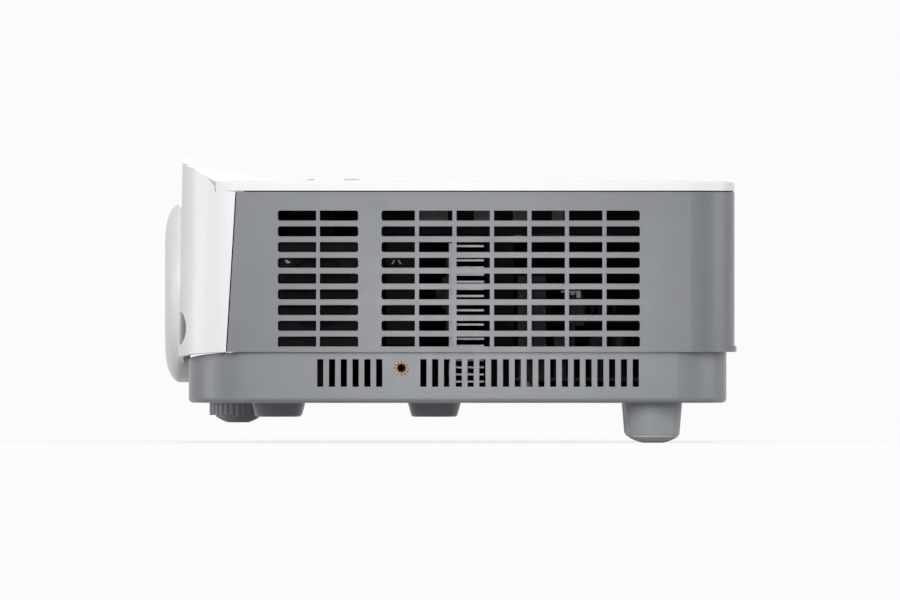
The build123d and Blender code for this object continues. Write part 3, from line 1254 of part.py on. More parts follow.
# clamp bridge and the clamper that hangs in it
bridge_z0 = loader_z1
bridge_z1 = bridge_z0 + 1.2
bridge_half = 20.0
bridge = block(loader_x0, loader_x1, disc_y - bridge_half, disc_y + bridge_half, bridge_z0, bridge_z1)
bridge -= rod_z(loader_x, disc_y, bridge_z0 - 1, bridge_z1 + 1, 10.0)
save(bridge, "clamp_bridge")
clamper_low = table_z + 2.2 + 1.4
clamper = rod_z(loader_x, disc_y, clamper_low, bridge_z0 - 0.6, clamper_radius)
clamper += rod_z(loader_x, disc_y, clamper_low, bridge_z1 + 1.5, 9.9)
clamper += rod_z(loader_x, disc_y, bridge_z1 + 0.3, bridge_z1 + 1.5, clamper_radius - 1)
clamper -= rod_z(loader_x, disc_y, clamper_low - 1, clamper_low + 1.5, 7.6)
save(clamper, "disc_clamper")

# case screws, up through the base's posts
screws = []
for x, y in screw_places:
    screw = rod_z(x, y, base_z + 0.6, base_z + 2.8, 3.3) + rod_z(x, y, base_z + 2, seam_z - 5, 1.5)
    screw -= block(x - 2, x + 2, y - 0.4, y + 0.4, base_z, base_z + 1.6)
    screw -= block(x - 0.4, x + 0.4, y - 2, y + 2, base_z, base_z + 1.6)
    screws.append(screw)
save(Compound(screws), "case_screws")
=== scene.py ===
import math

import bmesh
import bpy
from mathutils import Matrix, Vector
from mathutils.bvhtree import BVHTree


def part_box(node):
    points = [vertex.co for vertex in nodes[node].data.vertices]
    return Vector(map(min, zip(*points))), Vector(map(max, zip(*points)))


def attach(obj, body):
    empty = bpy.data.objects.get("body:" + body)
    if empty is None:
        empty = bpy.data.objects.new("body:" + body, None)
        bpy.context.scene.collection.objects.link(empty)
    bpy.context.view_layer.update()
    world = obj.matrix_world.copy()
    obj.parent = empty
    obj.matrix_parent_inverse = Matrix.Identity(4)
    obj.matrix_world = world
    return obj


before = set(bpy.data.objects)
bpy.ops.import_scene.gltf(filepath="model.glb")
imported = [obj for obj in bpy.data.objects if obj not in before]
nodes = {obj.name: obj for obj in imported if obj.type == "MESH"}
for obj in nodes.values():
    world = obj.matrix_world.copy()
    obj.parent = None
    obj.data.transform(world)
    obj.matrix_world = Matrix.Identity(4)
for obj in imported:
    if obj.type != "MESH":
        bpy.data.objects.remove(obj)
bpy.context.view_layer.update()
scene = bpy.context.scene
scene.view_settings.view_transform = "Standard"

MM = 0.001
seat = 0.1                 # millimetres that a small piece is let into what carries it


# ------------------------------------------------------------------ colours and shader nodes
def colour(hex_code):
    """An sRGB hex value as a linear colour."""
    channels = [int(hex_code[k:k + 2], 16) / 255 for k in (1, 3, 5)]
    return [c / 12.92 if c <= 0.04045 else ((c + 0.055) / 1.055) ** 2.4 for c in channels] + [1.0]


def shade(hex_code, factor):
    """A hex colour made lighter or darker, still linear."""
    return [min(1.0, c * factor) for c in colour(hex_code)[:3]] + [1.0]


def add(tree, kind, values=None, links=None, **settings):
    """Adds a shader node, sets it up and links its inputs."""
    node = tree.nodes.new("ShaderNode" + kind)
    for name, value in settings.items():
        setattr(node, name, value)
    for socket, value in (values or {}).items():
        node.inputs[socket].default_value = value
    for socket, source in (links or {}).items():
        tree.links.new(source, node.inputs[socket])
    return node


def new_material(name):
    """An empty material with its output, and the object coordinates in metres."""
    material = bpy.data.materials.new(name)
    material.use_nodes = True
    tree = material.node_tree
    tree.nodes.clear()
    output = add(tree, "OutputMaterial")
    place = add(tree, "TexCoord").outputs["Object"]
    return material, tree, output, place


def per_mm(size_mm):
    """Texture scale at which one cell is this many millimetres."""
    return 1.0 / (size_mm * MM)


def patches(tree, place, size_mm, low, high, detail=2.0):
    """A soft, cloudy factor between two levels."""
    cloud = add(tree, "TexNoise", {"Scale": per_mm(size_mm), "Detail": detail}, {"Vector": place})
    return add(tree, "MapRange", {"From Min": 0.35, "From Max": 0.65, "To Min": low, "To Max": high},
               {"Value": cloud.outputs["Fac"]}).outputs["Result"]


# ------------------------------------------------------------------ finishes
def moulded_abs(name, hex_code, roughness, spark_mm=0.9, spark_depth=0.02, mottle=0.03, coat=0.0,
                ior=1.54, gloss_level=0.5):
    """Injection-moulded ABS with a spark-eroded texture.

    The eye sees an even colour with a faint pearly mottle and a fine grain that breaks up the gloss.
    The real grain is about 0.3 mm; it is drawn two or three times coarser so that it shows.
    """
    material, tree, output, place = new_material(name)
    tint = add(tree, "Mix", data_type="RGBA")
    tint.inputs["A"].default_value = shade(hex_code, 1.0 - mottle)
    tint.inputs["B"].default_value = shade(hex_code, 1.0 + mottle)
    tree.links.new(patches(tree, place, 22.0, 0.0, 1.0), tint.inputs["Factor"])
    gloss = patches(tree, place, 7.0, roughness - 0.04, roughness + 0.04)
    grain = add(tree, "TexNoise", {"Scale": per_mm(spark_mm), "Detail": 3.0, "Roughness": 0.6},
                {"Vector": place})
    bump = add(tree, "Bump", {"Strength": 0.35, "Distance": spark_depth * MM},
               {"Height": grain.outputs["Fac"]})
    skin = add(tree, "BsdfPrincipled", {"IOR": ior, "Coat Weight": coat, "Coat Roughness": 0.25,
                                        "Specular IOR Level": gloss_level},
               {"Base Color": tint.outputs["Result"], "Roughness": gloss, "Normal": bump.outputs["Normal"]})
    tree.links.new(skin.outputs["BSDF"], output.inputs["Surface"])
    return material


def soft_rubber(name, hex_code):
    """Moulded elastomer for feet and belts: dull, slightly dusty, a little lighter where it is rubbed."""
    material, tree, output, place = new_material(name)
    tint = add(tree, "Mix", data_type="RGBA")
    tint.inputs["A"].default_value = shade(hex_code, 0.92)
    tint.inputs["B"].default_value = shade(hex_code, 1.12)
    tree.links.new(patches(tree, place, 4.0, 0.0, 1.0, 4.0), tint.inputs["Factor"])
    grain = add(tree, "TexNoise", {"Scale": per_mm(0.5), "Detail": 4.0}, {"Vector": place})
    bump = add(tree, "Bump", {"Strength": 0.4, "Distance": 0.03 * MM}, {"Height": grain.outputs["Fac"]})
    skin = add(tree, "BsdfPrincipled", {"IOR": 1.5, "Roughness": 0.78},
               {"Base Color": tint.outputs["Result"], "Normal": bump.outputs["Normal"]})
    tree.links.new(skin.outputs["BSDF"], output.inputs["Surface"])
    return material


def worked_metal(name, hex_code, roughness, stretch=(1.0, 1.0, 1.0), line_mm=0.6, depth=0.01, stain=0.06):
    """Metal with the lines of its rolling, turning or plating.

    The eye sees a soft metallic sheen, streaked along the working direction, with faint stains.
    """
    material, tree, output, place = new_material(name)
    along = add(tree, "Mapping", {"Scale": stretch}, {"Vector": place}).outputs["Vector"]
    lines = add(tree, "TexNoise", {"Scale": per_mm(line_mm), "Detail": 2.0}, {"Vector": along})
    tint = add(tree, "Mix", data_type="RGBA")
    tint.inputs["A"].default_value = shade(hex_code, 1.0 - stain)
    tint.inputs["B"].default_value = shade(hex_code, 1.0 + stain)
    tree.links.new(patches(tree, place, 9.0, 0.0, 1.0, 3.0), tint.inputs["Factor"])
    gloss = add(tree, "MapRange", {"From Min": 0.3, "From Max": 0.7, "To Min": roughness - 0.08,
                                   "To Max": roughness + 0.08}, {"Value": lines.outputs["Fac"]})
    bump = add(tree, "Bump", {"Strength": 0.3, "Distance": depth * MM}, {"Height": lines.outputs["Fac"]})
    skin = add(tree, "BsdfPrincipled", {"Metallic": 1.0},
               {"Base Color": tint.outputs["Result"], "Roughness": gloss.outputs["Result"],
                "Normal": bump.outputs["Normal"]})
    tree.links.new(skin.outputs["BSDF"], output.inputs["Surface"])
    return material


def optical_glass(name, hex_code, coating_hex):
    """Ground and coated crown glass: clear, with the faint violet-green sheen of its coating."""
    material, tree, output, place = new_material(name)
    smear = patches(tree, place, 9.0, 0.0, 0.03, 3.0)
    glass = add(tree, "BsdfPrincipled",
                {"Base Color": colour(hex_code), "IOR": 1.52, "Transmission Weight": 1.0,
                 "Specular Tint": colour(coating_hex)}, {"Roughness": smear})
    tree.links.new(glass.outputs["BSDF"], output.inputs["Surface"])
    return material


def tinted_window(name, hex_code):
    """Infrared-clear polycarbonate: nearly black, polished, with a wine-red tint and faint moulding haze."""
    material, tree, output, place = new_material(name)
    tint = add(tree, "Mix", data_type="RGBA")
    tint.inputs["A"].default_value = shade(hex_code, 0.7)
    tint.inputs["B"].default_value = shade(hex_code, 1.3)
    tree.links.new(patches(tree, place, 6.0, 0.0, 1.0), tint.inputs["Factor"])
    skin = add(tree, "BsdfPrincipled", {"IOR": 1.58, "Coat Weight": 0.6, "Coat Roughness": 0.04},
               {"Base Color": tint.outputs["Result"], "Roughness": patches(tree, place, 5.0, 0.08, 0.16)})
    tree.links.new(skin.outputs["BSDF"], output.inputs["Surface"])
    return material


def circuit_board(name, mask_hex, track_hex):
    """Solder mask over etched copper: glossy dark green with slightly lighter tracks and tinned dots."""
    material, tree, output, place = new_material(name)
    tracks = add(tree, "TexBrick", {"Scale": per_mm(6.0), "Mortar Size": 0.16, "Mortar Smooth": 0.1,
                                    "Brick Width": 1.7, "Row Height": 0.4}, {"Vector": place})
    pads = add(tree, "TexVoronoi", {"Scale": per_mm(3.1)}, {"Vector": place})
    dots = add(tree, "MapRange", {"From Min": 0.20, "From Max": 0.16, "To Min": 0.0, "To Max": 1.0},
               {"Value": pads.outputs["Distance"]}).outputs["Result"]
    tint = add(tree, "Mix", data_type="RGBA")
    tint.inputs["A"].default_value = colour(mask_hex)
    tint.inputs["B"].default_value = colour(track_hex)
    tree.links.new(tracks.outputs["Fac"], tint.inputs["Factor"])
    tinned = add(tree, "Mix", data_type="RGBA")
    tinned.inputs["B"].default_value = colour("#2C2D2B")
    tree.links.new(dots, tinned.inputs["Factor"])
    tree.links.new(tint.outputs["Result"], tinned.inputs["A"])
    bump = add(tree, "Bump", {"Strength": 0.4, "Distance": 0.035 * MM}, {"Height": tracks.outputs["Fac"]})
    skin = add(tree, "BsdfPrincipled", {"IOR": 1.5, "Roughness": 0.5, "Specular IOR Level": 0.12},
               {"Base Color": tinned.outputs["Result"], "Metallic": dots, "Normal": bump.outputs["Normal"]})
    tree.links.new(skin.outputs["BSDF"], output.inputs["Surface"])
    return material


def open_foam(name, hex_code):
    """Reticulated filter foam: soft black cells a millimetre or two wide, drawn darker in their middles as
    painted shade in the hollows and lighter along the strands as painted light.
    """
    material, tree, output, place = new_material(name)
    cells = add(tree, "TexVoronoi", {"Scale": per_mm(1.6)}, {"Vector": place}, feature="DISTANCE_TO_EDGE")
    # painted shade in the cells' middles and painted light on the strands between them
    tint = add(tree, "Mix", data_type="RGBA")
    tint.inputs["A"].default_value = shade(hex_code, 1.6)
    tint.inputs["B"].default_value = shade(hex_code, 0.25)
    edge = add(tree, "MapRange", {"From Min": 0.02, "From Max": 0.12, "To Min": 0.0, "To Max": 1.0},
               {"Value": cells.outputs["Distance"]}).outputs["Result"]
    tree.links.new(edge, tint.inputs["Factor"])
    bump = add(tree, "Bump", {"Strength": 1.0, "Distance": 0.5 * MM}, {"Height": cells.outputs["Distance"]})
    skin = add(tree, "BsdfPrincipled", {"IOR": 1.45, "Roughness": 0.95},
               {"Base Color": tint.outputs["Result"], "Normal": bump.outputs["Normal"]})
    tree.links.new(skin.outputs["BSDF"], output.inputs["Surface"])
    return material


side_abs = moulded_abs("side_abs_grey", "#777A7F", 0.32)
# the base's grey is set lighter than the side's: painted light, making up for the shade that falls on the
# base
base_abs = moulded_abs("base_abs_grey", "#818489", 0.32)
white_abs = moulded_abs("front_abs_white", "#F7F7F8", 0.35, spark_mm=1.2, spark_depth=0.008, mottle=0.006,
                        coat=0.1)
# black plastics inside the case, made darker than moulded black: their own black plus painted shade for the
# dark inside of the case
black_abs = moulded_abs("inner_abs_black", "#070708", 0.62, mottle=0.15, gloss_level=0.08)
speaker_black = moulded_abs("speaker_basket_black", "#050506", 0.7, mottle=0.2, gloss_level=0.08)
ring_abs = moulded_abs("lens_ring_abs_black", "#17181A", 0.45, mottle=0.1)
panel_abs = moulded_abs("socket_panel_abs", "#1D1E20", 0.48, mottle=0.08)
dark_abs = moulded_abs("bracket_abs_dark_grey", "#2B2C2E", 0.5, mottle=0.06)
# the knob's grey is lifted well above the case's: its own grey plus painted light against the shade under
# the case
knob_abs = moulded_abs("foot_knob_abs_grey", "#BFC1C5", 0.5)
# a lighter copy of the base's grey for the rear feet: painted light, as the feet sit in the shade under the
# case
base_grey_lit_copy = moulded_abs("foot_post_grey_lit_copy", "#989BA0", 0.4)
button_abs = moulded_abs("button_abs_grey", "#B9BABE", 0.35, spark_depth=0.01, mottle=0.01, coat=0.2)
gear_acetal = moulded_abs("gear_acetal", "#E0DCD0", 0.38, mottle=0.02, ior=1.48)
# the pads' grey is lifted well above their own: painted light against the shade under the case
pad_rubber = soft_rubber("foot_pad_rubber", "#CBCCCE")
belt_rubber = soft_rubber("belt_rubber", "#1B1B1C")
brass = worked_metal("turned_brass", "#C8A45C", 0.30, (1.0, 1.0, 8.0))
gold_plate = worked_metal("gold_plated_brass", "#86694B", 0.36, line_mm=0.4)
zinc = worked_metal("zinc_plated_steel", "#B9BBBC", 0.35)
nickel = worked_metal("nickel_plated_steel", "#C9C7C0", 0.24)
mill_aluminium = worked_metal("mill_aluminium", "#848587", 0.45, (1.0, 0.06, 1.0), 0.5, 0.02)
black_anodised = worked_metal("black_anodised_aluminium", "#2E2F31", 0.5, (1.0, 0.06, 1.0), 0.5, 0.02)
tinned_copper = worked_metal("tinned_copper", "#66676A", 0.5)
motor_steel = worked_metal("drawn_motor_steel", "#A9AAAC", 0.34, (1.0, 1.0, 0.1))
lens_glass = optical_glass("coated_lens_glass", "#F2FAF6", "#C8A6FF")
screen_glass = optical_glass("screen_glass", "#5A6068", "#FFFFFF")
ir_tint = tinted_window("ir_polycarbonate", "#16090B")
laminate = circuit_board("circuit_laminate", "#060807", "#0A0E0C")
filter_foam_with_painted_shade = open_foam("filter_foam_with_painted_shade", "#101011")
video_yellow = moulded_abs("socket_ring_yellow", "#D8B534", 0.4, mottle=0.05)
audio_white = moulded_abs("socket_ring_white", "#E4E4E2", 0.4, mottle=0.03)
audio_red = moulded_abs("socket_ring_red", "#B5282C", 0.4, mottle=0.05)
grey_ink = moulded_abs("printed_ink_grey", "#5C5E63", 0.55, spark_mm=0.5, mottle=0.10)
white_ink = moulded_abs("printed_ink_white", "#D8D8DA", 0.55, spark_mm=0.5, mottle=0.05)

finish_of = {
    side_abs: ("upper_housing", "tray_bezel"),
    base_abs: ("base_housing",),
    base_grey_lit_copy: ("rear_feet",),
    white_abs: ("front_fascia", "lens_bezel", "top_cover", "lcd_carrier"),
    ir_tint: ("ir_window",),
    knob_abs: ("front_foot_screw",),
    pad_rubber: ("front_foot_pad", "rear_foot_pads"),
    brass: ("front_foot_nut", "mount_inserts"),
    gold_plate: ("jack_bushing",),
    black_abs: ("lens_mount", "engine_housing", "exhaust_fan_frame", "exhaust_fan_rotor", "intake_fan_frame",
                "intake_fan_rotor", "headphone_jack", "loader_chassis"),
    speaker_black: ("speakers",),
    ring_abs: ("focus_ring", "lens_barrel", "ac_inlet", "power_rocker"),
    panel_abs: ("socket_panel",),
    dark_abs: ("disc_tray", "disc_clamper", "turntable", "pickup_sled"),
    button_abs: ("power_button", "source_button", "menu_button", "play_button", "eject_button"),
    gear_acetal: ("tray_pinion", "pulley_gear", "motor_pulley"),
    belt_rubber: ("drive_belt",),
    zinc: ("case_screws", "clamp_bridge", "traverse_frame", "sled_rods"),
    nickel: ("digital_sockets", "vga_socket", "av_sockets", "ac_inlet_pins"),
    mill_aluminium: ("heat_sink",),
    motor_steel: ("loading_motor", "spindle_motor"),
    black_anodised: ("led_module",),
    lens_glass: ("lens_elements", "condenser_lens"),
    screen_glass: ("lcd_panel",),
    laminate: ("power_supply_board", "main_board", "keypad_board"),
}


def dress(node_name, material):
    """Gives a CAD node its finish."""
    slots = nodes[node_name].material_slots
    if not slots:
        nodes[node_name].data.materials.append(None)
    for slot in slots:
        slot.link = "OBJECT"
        slot.material = material


for material, names in finish_of.items():
    for name in names:
        dress(name, material)


# ------------------------------------------------------------------ small mesh pieces
def piece(name, body, material, mesh_builder):
    """One named piece on a CAD body, from a function that fills a bmesh in millimetres."""
    mesh = bpy.data.meshes.new(name)
    work = bmesh.new()
    mesh_builder(work)
    bmesh.ops.scale(work, vec=(MM, MM, MM), verts=work.verts)
    bmesh.ops.recalc_face_normals(work, faces=work.faces)
    work.to_mesh(mesh)
    work.free()
    made = bpy.data.objects.new(name, mesh)
    scene.collection.objects.link(made)
    made.data.materials.append(material)
    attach(made, body)


def prism(work, outline, low, high, axes="xyz"):
    """A straight prism from an outline in the first two axes, between two places on the third."""
    order = ["xyz".index(a) for a in axes]

    def vert(u, v, w):
        place = [0.0, 0.0, 0.0]
        place[order[0]], place[order[1]], place[order[2]] = u, v, w
        return work.verts.new(place)

    bottom = [vert(u, v, low) for u, v in outline]
    top = [vert(u, v, high) for u, v in outline]
    work.faces.new(bottom)
    work.faces.new(top)
    for k in range(len(outline)):
        n = (k + 1) % len(outline)
        work.faces.new((bottom[k], bottom[n], top[n], top[k]))


def band(work, centre, inner, outer, low, high, axes="xyz", start=0.0, sweep=360.0, steps=36):
    """A flat ring, or a part of one, between two places on the third axis."""
    order = ["xyz".index(a) for a in axes]
    closed = sweep >= 360.0
    rows = []
    for k in range(steps if closed else steps + 1):
        angle = math.radians(start + sweep * k / steps)
        row = []
        for radius, w in ((inner, low), (outer, low), (outer, high), (inner, high)):
            place = [0.0, 0.0, 0.0]
            place[order[0]] = centre[0] + radius * math.cos(angle)
            place[order[1]] = centre[1] + radius * math.sin(angle)
            place[order[2]] = w
            row.append(work.verts.new(place))
        rows.append(row)
    for k in range(len(rows) if closed else len(rows) - 1):
        here, there = rows[k], rows[(k + 1) % len(rows)]
        for side in range(4):
            work.faces.new((here[side], here[(side + 1) % 4], there[(side + 1) % 4], there[side]))
    if not closed:
        work.faces.new(rows[0])
        work.faces.new(rows[-1])


def touch(node_name, start, direction):
    """Where a line from a point in millimetres first meets a CAD node, in millimetres."""
    mesh = nodes[node_name].data
    solid = BVHTree.FromPolygons([v.co for v in mesh.vertices], [p.vertices for p in mesh.polygons])
    return solid.ray_cast(Vector(start) * MM, Vector(direction))[0] / MM


def round_box(x0, x1, y0, y1, corner, steps=4):
    """Outline of a rectangle with round corners."""
    points = []
    for cx, cy, start in ((x1 - corner, y1 - corner, 0), (x0 + corner, y1 - corner, 90),
                          (x0 + corner, y0 + corner, 180), (x1 - corner, y0 + corner, 270)):
        for k in range(steps + 1):
            angle = math.radians(start + 90 * k / steps)
            points.append((cx + corner * math.cos(angle), cy + corner * math.sin(angle)))
    return points


def box_mm(name):
    """A CAD node's corners in millimetres."""
    low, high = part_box(name)
    return [v / MM for v in low], [v / MM for v in high]


shell_low, shell_high = box_mm("upper_housing")
base_high = box_mm("base_housing")[1]
speaker_low, speaker_high = box_mm("speakers")
tray_low, tray_high = box_mm("tray_bezel")
lip_out = 1.0              # how far the housing's lip stands out from its walls
wall = 2.5                 # moulded walls
rear_corner = 22.0         # plan radius of the housing's rear corners
shade_strip_front = -103.0        # where the front's round corner begins, and the painted shade strip ends
shade_strip_outer, shade_strip_inner = 0.75, 1.75        # the shade strip's edges, in from the housing's faces
shade_strip_low, shade_strip_high = 0.02, 0.58           # the shade strip's edges, up from the top of the housing


def side_path(inset):
    """The housing's plan from its near front round the back to its far front, moved inwards."""
    half, end = shell_high[1] - lip_out - inset, shell_high[0] - lip_out - inset
    radius = rear_corner - inset
    points = [(shade_strip_front, -half)]
    for start, side in ((270, -1), (0, 1)):
        for k in range(10):
            angle = math.radians(start + 10 * k)
            points.append((end - radius + radius * math.cos(angle),
                           side * (half - radius) + radius * math.sin(angle)))
    return points + [(shade_strip_front, half)]


def cover_shade_strip(work):
    """A strip in the black foam finish, in the groove under the top cover: painted shade that stands in for
    the joint's shadow, so that the joint reads as a dark line.
    """
    prism(work, side_path(shade_strip_outer) + side_path(shade_strip_inner)[::-1], shell_high[2] + shade_strip_low,
          shell_high[2] + shade_strip_high)


# a dark strip laid in the cover's groove: painted shade for the shadow in the joint
piece("cover_shade_strip", "case", filter_foam_with_painted_shade, cover_shade_strip)

# foam dust filters behind the far grilles, each against its wall
foam_depth = 4.0
foam_corner = 1.0
foam_gap = 0.2             # between a filter and its wall
far_wall = shell_high[1] - lip_out - wall - foam_gap
low_wall = base_high[1] - wall - foam_gap


def foam_slab(x0, x1, z0, z1, wall_y):
    def build(work):
        prism(work, round_box(x0, x1, z0, z1, foam_corner), wall_y - foam_depth, wall_y, "xzy")
    return build


filters = {
    "far_side_filter": (speaker_high[0] + 2.0, tray_high[0], shell_low[2] + 2.5, tray_low[2] - 4.0,
                        far_wall),
    "far_top_filter": (speaker_low[0], tray_low[0] - 6.0, speaker_high[2] + 0.5, shell_high[2] - 5.0,
                       far_wall),
    "far_base_filter": (speaker_high[0] - 26.0, tray_high[0] - 6.0, speaker_low[2] + 0.7, 44.0,
                        low_wall),
}
for name, place in filters.items():
    piece(name, "case", filter_foam_with_painted_shade, foam_slab(*place))


# marks printed on the five buttons, in millimetres to the right and up for someone behind the case
bar = [(-1.8, -0.25), (1.8, -0.25), (1.8, 0.25), (-1.8, 0.25)]
button_marks = {
    "power": [[(-0.22, 0.5), (0.22, 0.5), (0.22, 2.2), (-0.22, 2.2)]],
    "source": [[(-2.2, 0.22), (-0.2, 0.22), (-0.2, 0.9), (0.9, 0.0), (-0.2, -0.9), (-0.2, -0.22),
                (-2.2, -0.22)],
               [(0.2, 1.9), (2.1, 1.9), (2.1, -1.9), (0.2, -1.9), (0.2, -1.5), (1.7, -1.5), (1.7, 1.5),
                (0.2, 1.5)]],
    "menu": [[(u, v + rise) for u, v in bar] for rise in (-1.2, 0.0, 1.2)],
    "play": [[(-1.3, 1.7), (1.9, 0.0), (-1.3, -1.7)]],
    "eject": [[(-1.8, -0.2), (1.8, -0.2), (0.0, 1.9)], [(u, v - 1.1) for u, v in bar]],
}
ink_thickness = 0.06       # above and below the key's face


def button_mark(name, outlines):
    low, high = box_mm(name + "_button")
    middle_x, middle_y = (low[0] + high[0]) / 2, (low[1] + high[1]) / 2
    ink_low, ink_high = high[2] - ink_thickness, high[2] + ink_thickness

    def build(work):
        for outline in outlines:
            prism(work, [(middle_x - v, middle_y + u) for u, v in outline], ink_low, ink_high)
        if name == "power":
            band(work, (middle_x, middle_y), 1.45, 1.85, ink_low, ink_high, start=215.0, sweep=290.0)
    return build


for name, outlines in button_marks.items():
    piece(name + "_mark", name + "_key", grey_ink, button_mark(name, outlines))

# on and off marks on the rocker
rocker_low, rocker_high = box_mm("power_rocker")
rocker_y = (rocker_low[1] + rocker_high[1]) / 2
rocker_z = (rocker_low[2] + rocker_high[2]) / 2
mark_rise = 4.8            # from the rocker's middle to either mark
mark_sink = 0.25           # half the marks' depth; the rocker's face slopes


def rocker_marks(work):
    on, off = (touch("power_rocker", (rocker_high[0] + 5.0, rocker_y, rocker_z + rise), (-1, 0, 0))
               for rise in (mark_rise, -mark_rise))
    prism(work, round_box(rocker_y - 0.3, rocker_y + 0.3, on.z - 1.5, on.z + 1.5, 0.1),
          on.x - mark_sink, on.x + mark_sink, "yzx")
    band(work, (rocker_y, off.z), 1.1, 1.6, off.x - mark_sink, off.x + mark_sink, "yzx")


piece("rocker_marks", "rocker", white_ink, rocker_marks)

# moulded colour rings round the three phono sockets
panel_face = box_mm("socket_panel")[1][0]
phono_rings = {"video_ring": (76.0, 66.6, video_yellow), "audio_left_ring": (76.0, 84.6, audio_white),
               "audio_right_ring": (8.0, 84.6, audio_red)}
ring_inner, ring_outer, ring_rise = 4.3, 5.6, 0.7


def phono_ring(y, z):
    def build(work):
        band(work, (y, z), ring_inner, ring_outer, panel_face - seat, panel_face + ring_rise, "yzx")
    return build


for name, (y, z, material) in phono_rings.items():
    piece(name, "case", material, phono_ring(y, z))

# the jack's collar has a row of notches for the tool that screws it in; they and a ring round the hole are
# drawn as thin black inlays, painted shade for the recesses
jack_low, jack_high = box_mm("jack_bushing")
jack_x = (jack_low[0] + jack_high[0]) / 2
jack_z = (jack_low[2] + jack_high[2]) / 2
notch_depth = 0.3          # how far the marks reach into the collar


def collar_notches(work):
    for k in range(12):
        angle = math.radians(30 * k)
        along = Vector((math.cos(angle), math.sin(angle)))
        across = Vector((-math.sin(angle), math.cos(angle)))
        outline = [Vector((jack_x, jack_z)) + along * r + across * w
                   for r, w in ((2.35, -0.22), (3.55, -0.42), (3.55, 0.42), (2.35, 0.22))]
        prism(work, [tuple(p) for p in outline], jack_low[1] - 0.05, jack_low[1] + notch_depth, "xzy")
    band(work, (jack_x, jack_z), 1.75, 2.1, jack_low[1] - 0.04, jack_low[1] + notch_depth, "xzy")


piece("jack_notches", "case", ring_abs, collar_notches)


def boxes(places):
    """A builder for a few small blocks given by their corners."""
    def build(work):
        for x0, x1, y0, y1, z0, z1 in places:
            prism(work, round_box(x0, x1, y0, y1, min(0.15, (y1 - y0) / 4), 2), z0, z1)
    return build


# stiffening ribs on the loader's near end
loader_near = box_mm("loader_chassis")[0][1]
rib_low, rib_high, rib_depth = 109.0, 121.0, 0.6
rib_spans = ((-15.5, -1.0), (12.0, 20.0), (31.5, 39.0), (51.0, 57.0))
piece("loader_ribs", "case", dark_abs,
      boxes([(x0, x1, loader_near - rib_depth, loader_near + seat, rib_low, rib_high)
             for x0, x1 in rib_spans]))

# two solder tags on the speaker, two wires of the fan's plug and a spring clip over the supply board's parts
slot_y = -112.5            # inside the near wall, where lines into the case start


def face_y(node_name, x, z):
    """How far in a CAD node lies, seen from the near side."""
    return touch(node_name, (x, slot_y, z), (0, 1, 0)).y


tag_face = face_y("speakers", -82.0, 91.0)
tag_depth = 0.3
piece("speaker_tags", "case", tinned_copper,
      boxes([(-82.5, -81.0, tag_face - tag_depth, tag_face + seat, 91.0, 91.5),
             (-82.1, -79.9, tag_face - tag_depth, tag_face + seat, 90.0, 90.8)]))
plug_x, plug_z = -26.8, 90.5
plug_depth = 0.5


def plug_wires(work):
    face = face_y("intake_fan_frame", -27.0, 90.5)
    for side in (-1, 1):
        outline = [(plug_x + side * u, plug_z + w)
                   for u, w in ((0.6, 1.0), (1.4, 1.0), (2.6, -1.0), (1.7, -1.0))]
        prism(work, outline, face - plug_depth, face + seat, "xzy")


piece("plug_wires", "case", tinned_copper, plug_wires)
clip_face = face_y("power_supply_board", 62.0, 74.5)
step_face = face_y("power_supply_board", 64.4, 73.5)
clip_near = clip_face - 0.4
piece("supply_clip", "case", tinned_copper,
      boxes([(55.5, 65.5, clip_near, clip_face, 75.3, 76.1),
             (60.2, 62.6, clip_near, clip_face + seat, 74.2, 75.4),
             (63.2, 65.5, clip_near, step_face + seat, 72.6, 75.4)]))

# ------------------------------------------------------------------ camera
photo_width, photo_height = 900, 600
mm_per_pixel = 0.5
table_row, origin_column = 443, 450        # where the table and the middle of the case are in the photograph
near_side_y = -0.114                       # the grey side facing the camera, in metres
camera_distance = 13.0
sensor_width = 36.0
camera_data = bpy.data.cameras.new("camera")
camera_data.sensor_width = sensor_width
camera_data.lens = sensor_width * camera_distance / (photo_width * mm_per_pixel * MM)
camera_data.clip_end = 60.0
camera = bpy.data.objects.new("camera", camera_data)
scene.collection.objects.link(camera)
camera.location = ((photo_width / 2 - origin_column) * mm_per_pixel * MM,
                   near_side_y - camera_distance,
                   (table_row - photo_height / 2) * mm_per_pixel * MM)
camera.rotation_euler = (math.radians(90), 0, 0)
scene.camera = camera

# ------------------------------------------------------------------ floor, world and lamps
backdrop_hex = "#FCFBFC"
shadow_share = 0.17            # how much of the table's brightness near the object is light that falls on it
shadow_reach = (0.30, 0.85)    # metres from the middle over which that share fades out
table_light = 0.80             # how brightly the lamps light the open table
table_bounce = 0.35            # how much of its colour the table gives to light that bounces
table_reach = 3.0              # metres from the middle to the table's edges


def seen_by_eye(tree):
    """One for what the camera, gloss and glass see, and nought for light that bounces."""
    path = add(tree, "LightPath").outputs
    seen = add(tree, "Math", links={0: path["Is Camera Ray"], 1: path["Is Glossy Ray"]},
               operation="MAXIMUM").outputs["Value"]
    return add(tree, "Math", links={0: seen, 1: path["Is Transmission Ray"]},
               operation="MAXIMUM").outputs["Value"]


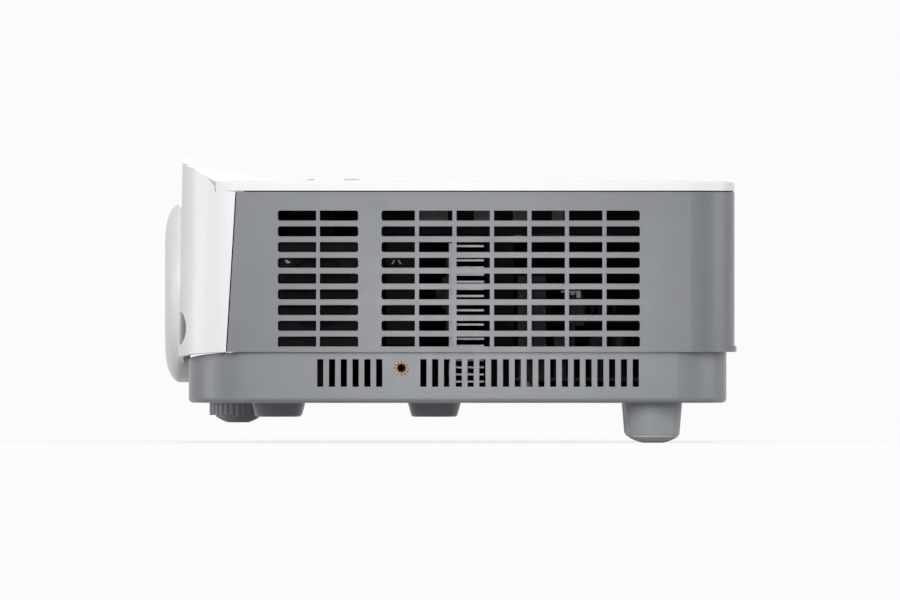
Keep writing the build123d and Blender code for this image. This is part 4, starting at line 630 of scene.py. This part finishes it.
def pale_floor():
    """A matt table: pale for the camera, gloss and glass, while little light bounces up from it."""
    material, tree, output, place = new_material("pale_table")
    seen = seen_by_eye(tree)
    away = add(tree, "VectorMath", links={0: place}, operation="LENGTH").outputs["Value"]
    near = add(tree, "MapRange", {"From Min": shadow_reach[0], "From Max": shadow_reach[1],
                                  "To Min": shadow_share, "To Max": 0.0},
               {"Value": away}, interpolation_type="SMOOTHSTEP").outputs["Result"]
    rest = add(tree, "Math", {0: 1.0}, {1: near}, operation="SUBTRACT").outputs["Value"]
    glow = add(tree, "Emission", {"Color": colour(backdrop_hex)}, {"Strength": rest})
    per_light = add(tree, "Math", {1: 1.0 / table_light}, {0: near}, operation="MULTIPLY").outputs["Value"]
    lit = add(tree, "BsdfDiffuse", links={"Color": per_light})
    both = add(tree, "AddShader", links={0: glow.outputs["Emission"], 1: lit.outputs["BSDF"]})
    matt = add(tree, "BsdfDiffuse", {"Color": shade(backdrop_hex, table_bounce)})
    mix = add(tree, "MixShader", links={"Fac": seen, 1: matt.outputs["BSDF"],
                                        2: both.outputs["Shader"]})
    tree.links.new(mix.outputs["Shader"], output.inputs["Surface"])
    return material


floor_mesh = bpy.data.meshes.new("table_top")
table_corners = ((-1, -1), (1, -1), (1, 1), (-1, 1))
floor_mesh.from_pydata([(x * table_reach, y * table_reach, 0) for x, y in table_corners], [], [(0, 1, 2, 3)])
floor = bpy.data.objects.new("table_top", floor_mesh)
scene.collection.objects.link(floor)
floor.data.materials.append(pale_floor())

world = bpy.data.worlds.new("studio")
scene.world = world
world.use_nodes = True
sky = world.node_tree
sky.nodes.clear()
ambient = add(sky, "Background", {"Color": colour("#F2F4F8"), "Strength": 0.25})
backdrop = add(sky, "Background", {"Color": colour(backdrop_hex), "Strength": 1.0})
sky_mix = add(sky, "MixShader", links={"Fac": seen_by_eye(sky), 1: ambient.outputs["Background"],
                                       2: backdrop.outputs["Background"]})
add(sky, "OutputWorld", links={"Surface": sky_mix.outputs["Shader"]})


def softbox(name, place, aim, width, height, power, spread):
    """A diffused lamp, aimed at a point; the camera doesn't see it."""
    lamp = bpy.data.lights.new(name, "AREA")
    lamp.shape = "RECTANGLE"
    lamp.size, lamp.size_y = width, height
    lamp.energy = power
    lamp.spread = math.radians(spread)
    holder = bpy.data.objects.new(name, lamp)
    scene.collection.objects.link(holder)
    holder.location = place
    holder.rotation_euler = (Vector(aim) - Vector(place)).to_track_quat("-Z", "Y").to_euler()
    holder.visible_camera = False


# places and sizes in metres, power in watts, spread in degrees
case_middle = (0.0, 0.0, 0.075)
lamps = {
    "key_near_side": ((-0.32, -1.47, 0.55), case_middle, 1.1, 0.7, 13.3, 180.0),
    "low_near_side": ((0.018, -0.42, 0.064), (0.018, 0.0, 0.064), 0.165, 0.070, 0.019, 60.0),
    "fill_lens_end": ((-1.3, -0.20, 0.12), case_middle, 0.7, 0.2, 1.9, 180.0),
    "fill_socket_end": ((1.4, -0.35, 0.5), case_middle, 0.9, 0.9, 7.0, 180.0),
    "top": ((0.0, 0.3, 1.5), case_middle, 1.2, 1.2, 4.6, 180.0),
    "far_side": ((0.3, 1.4, 0.6), case_middle, 1.0, 0.8, 9.0, 180.0),
}
for name, settings in lamps.items():
    softbox(name, *settings)
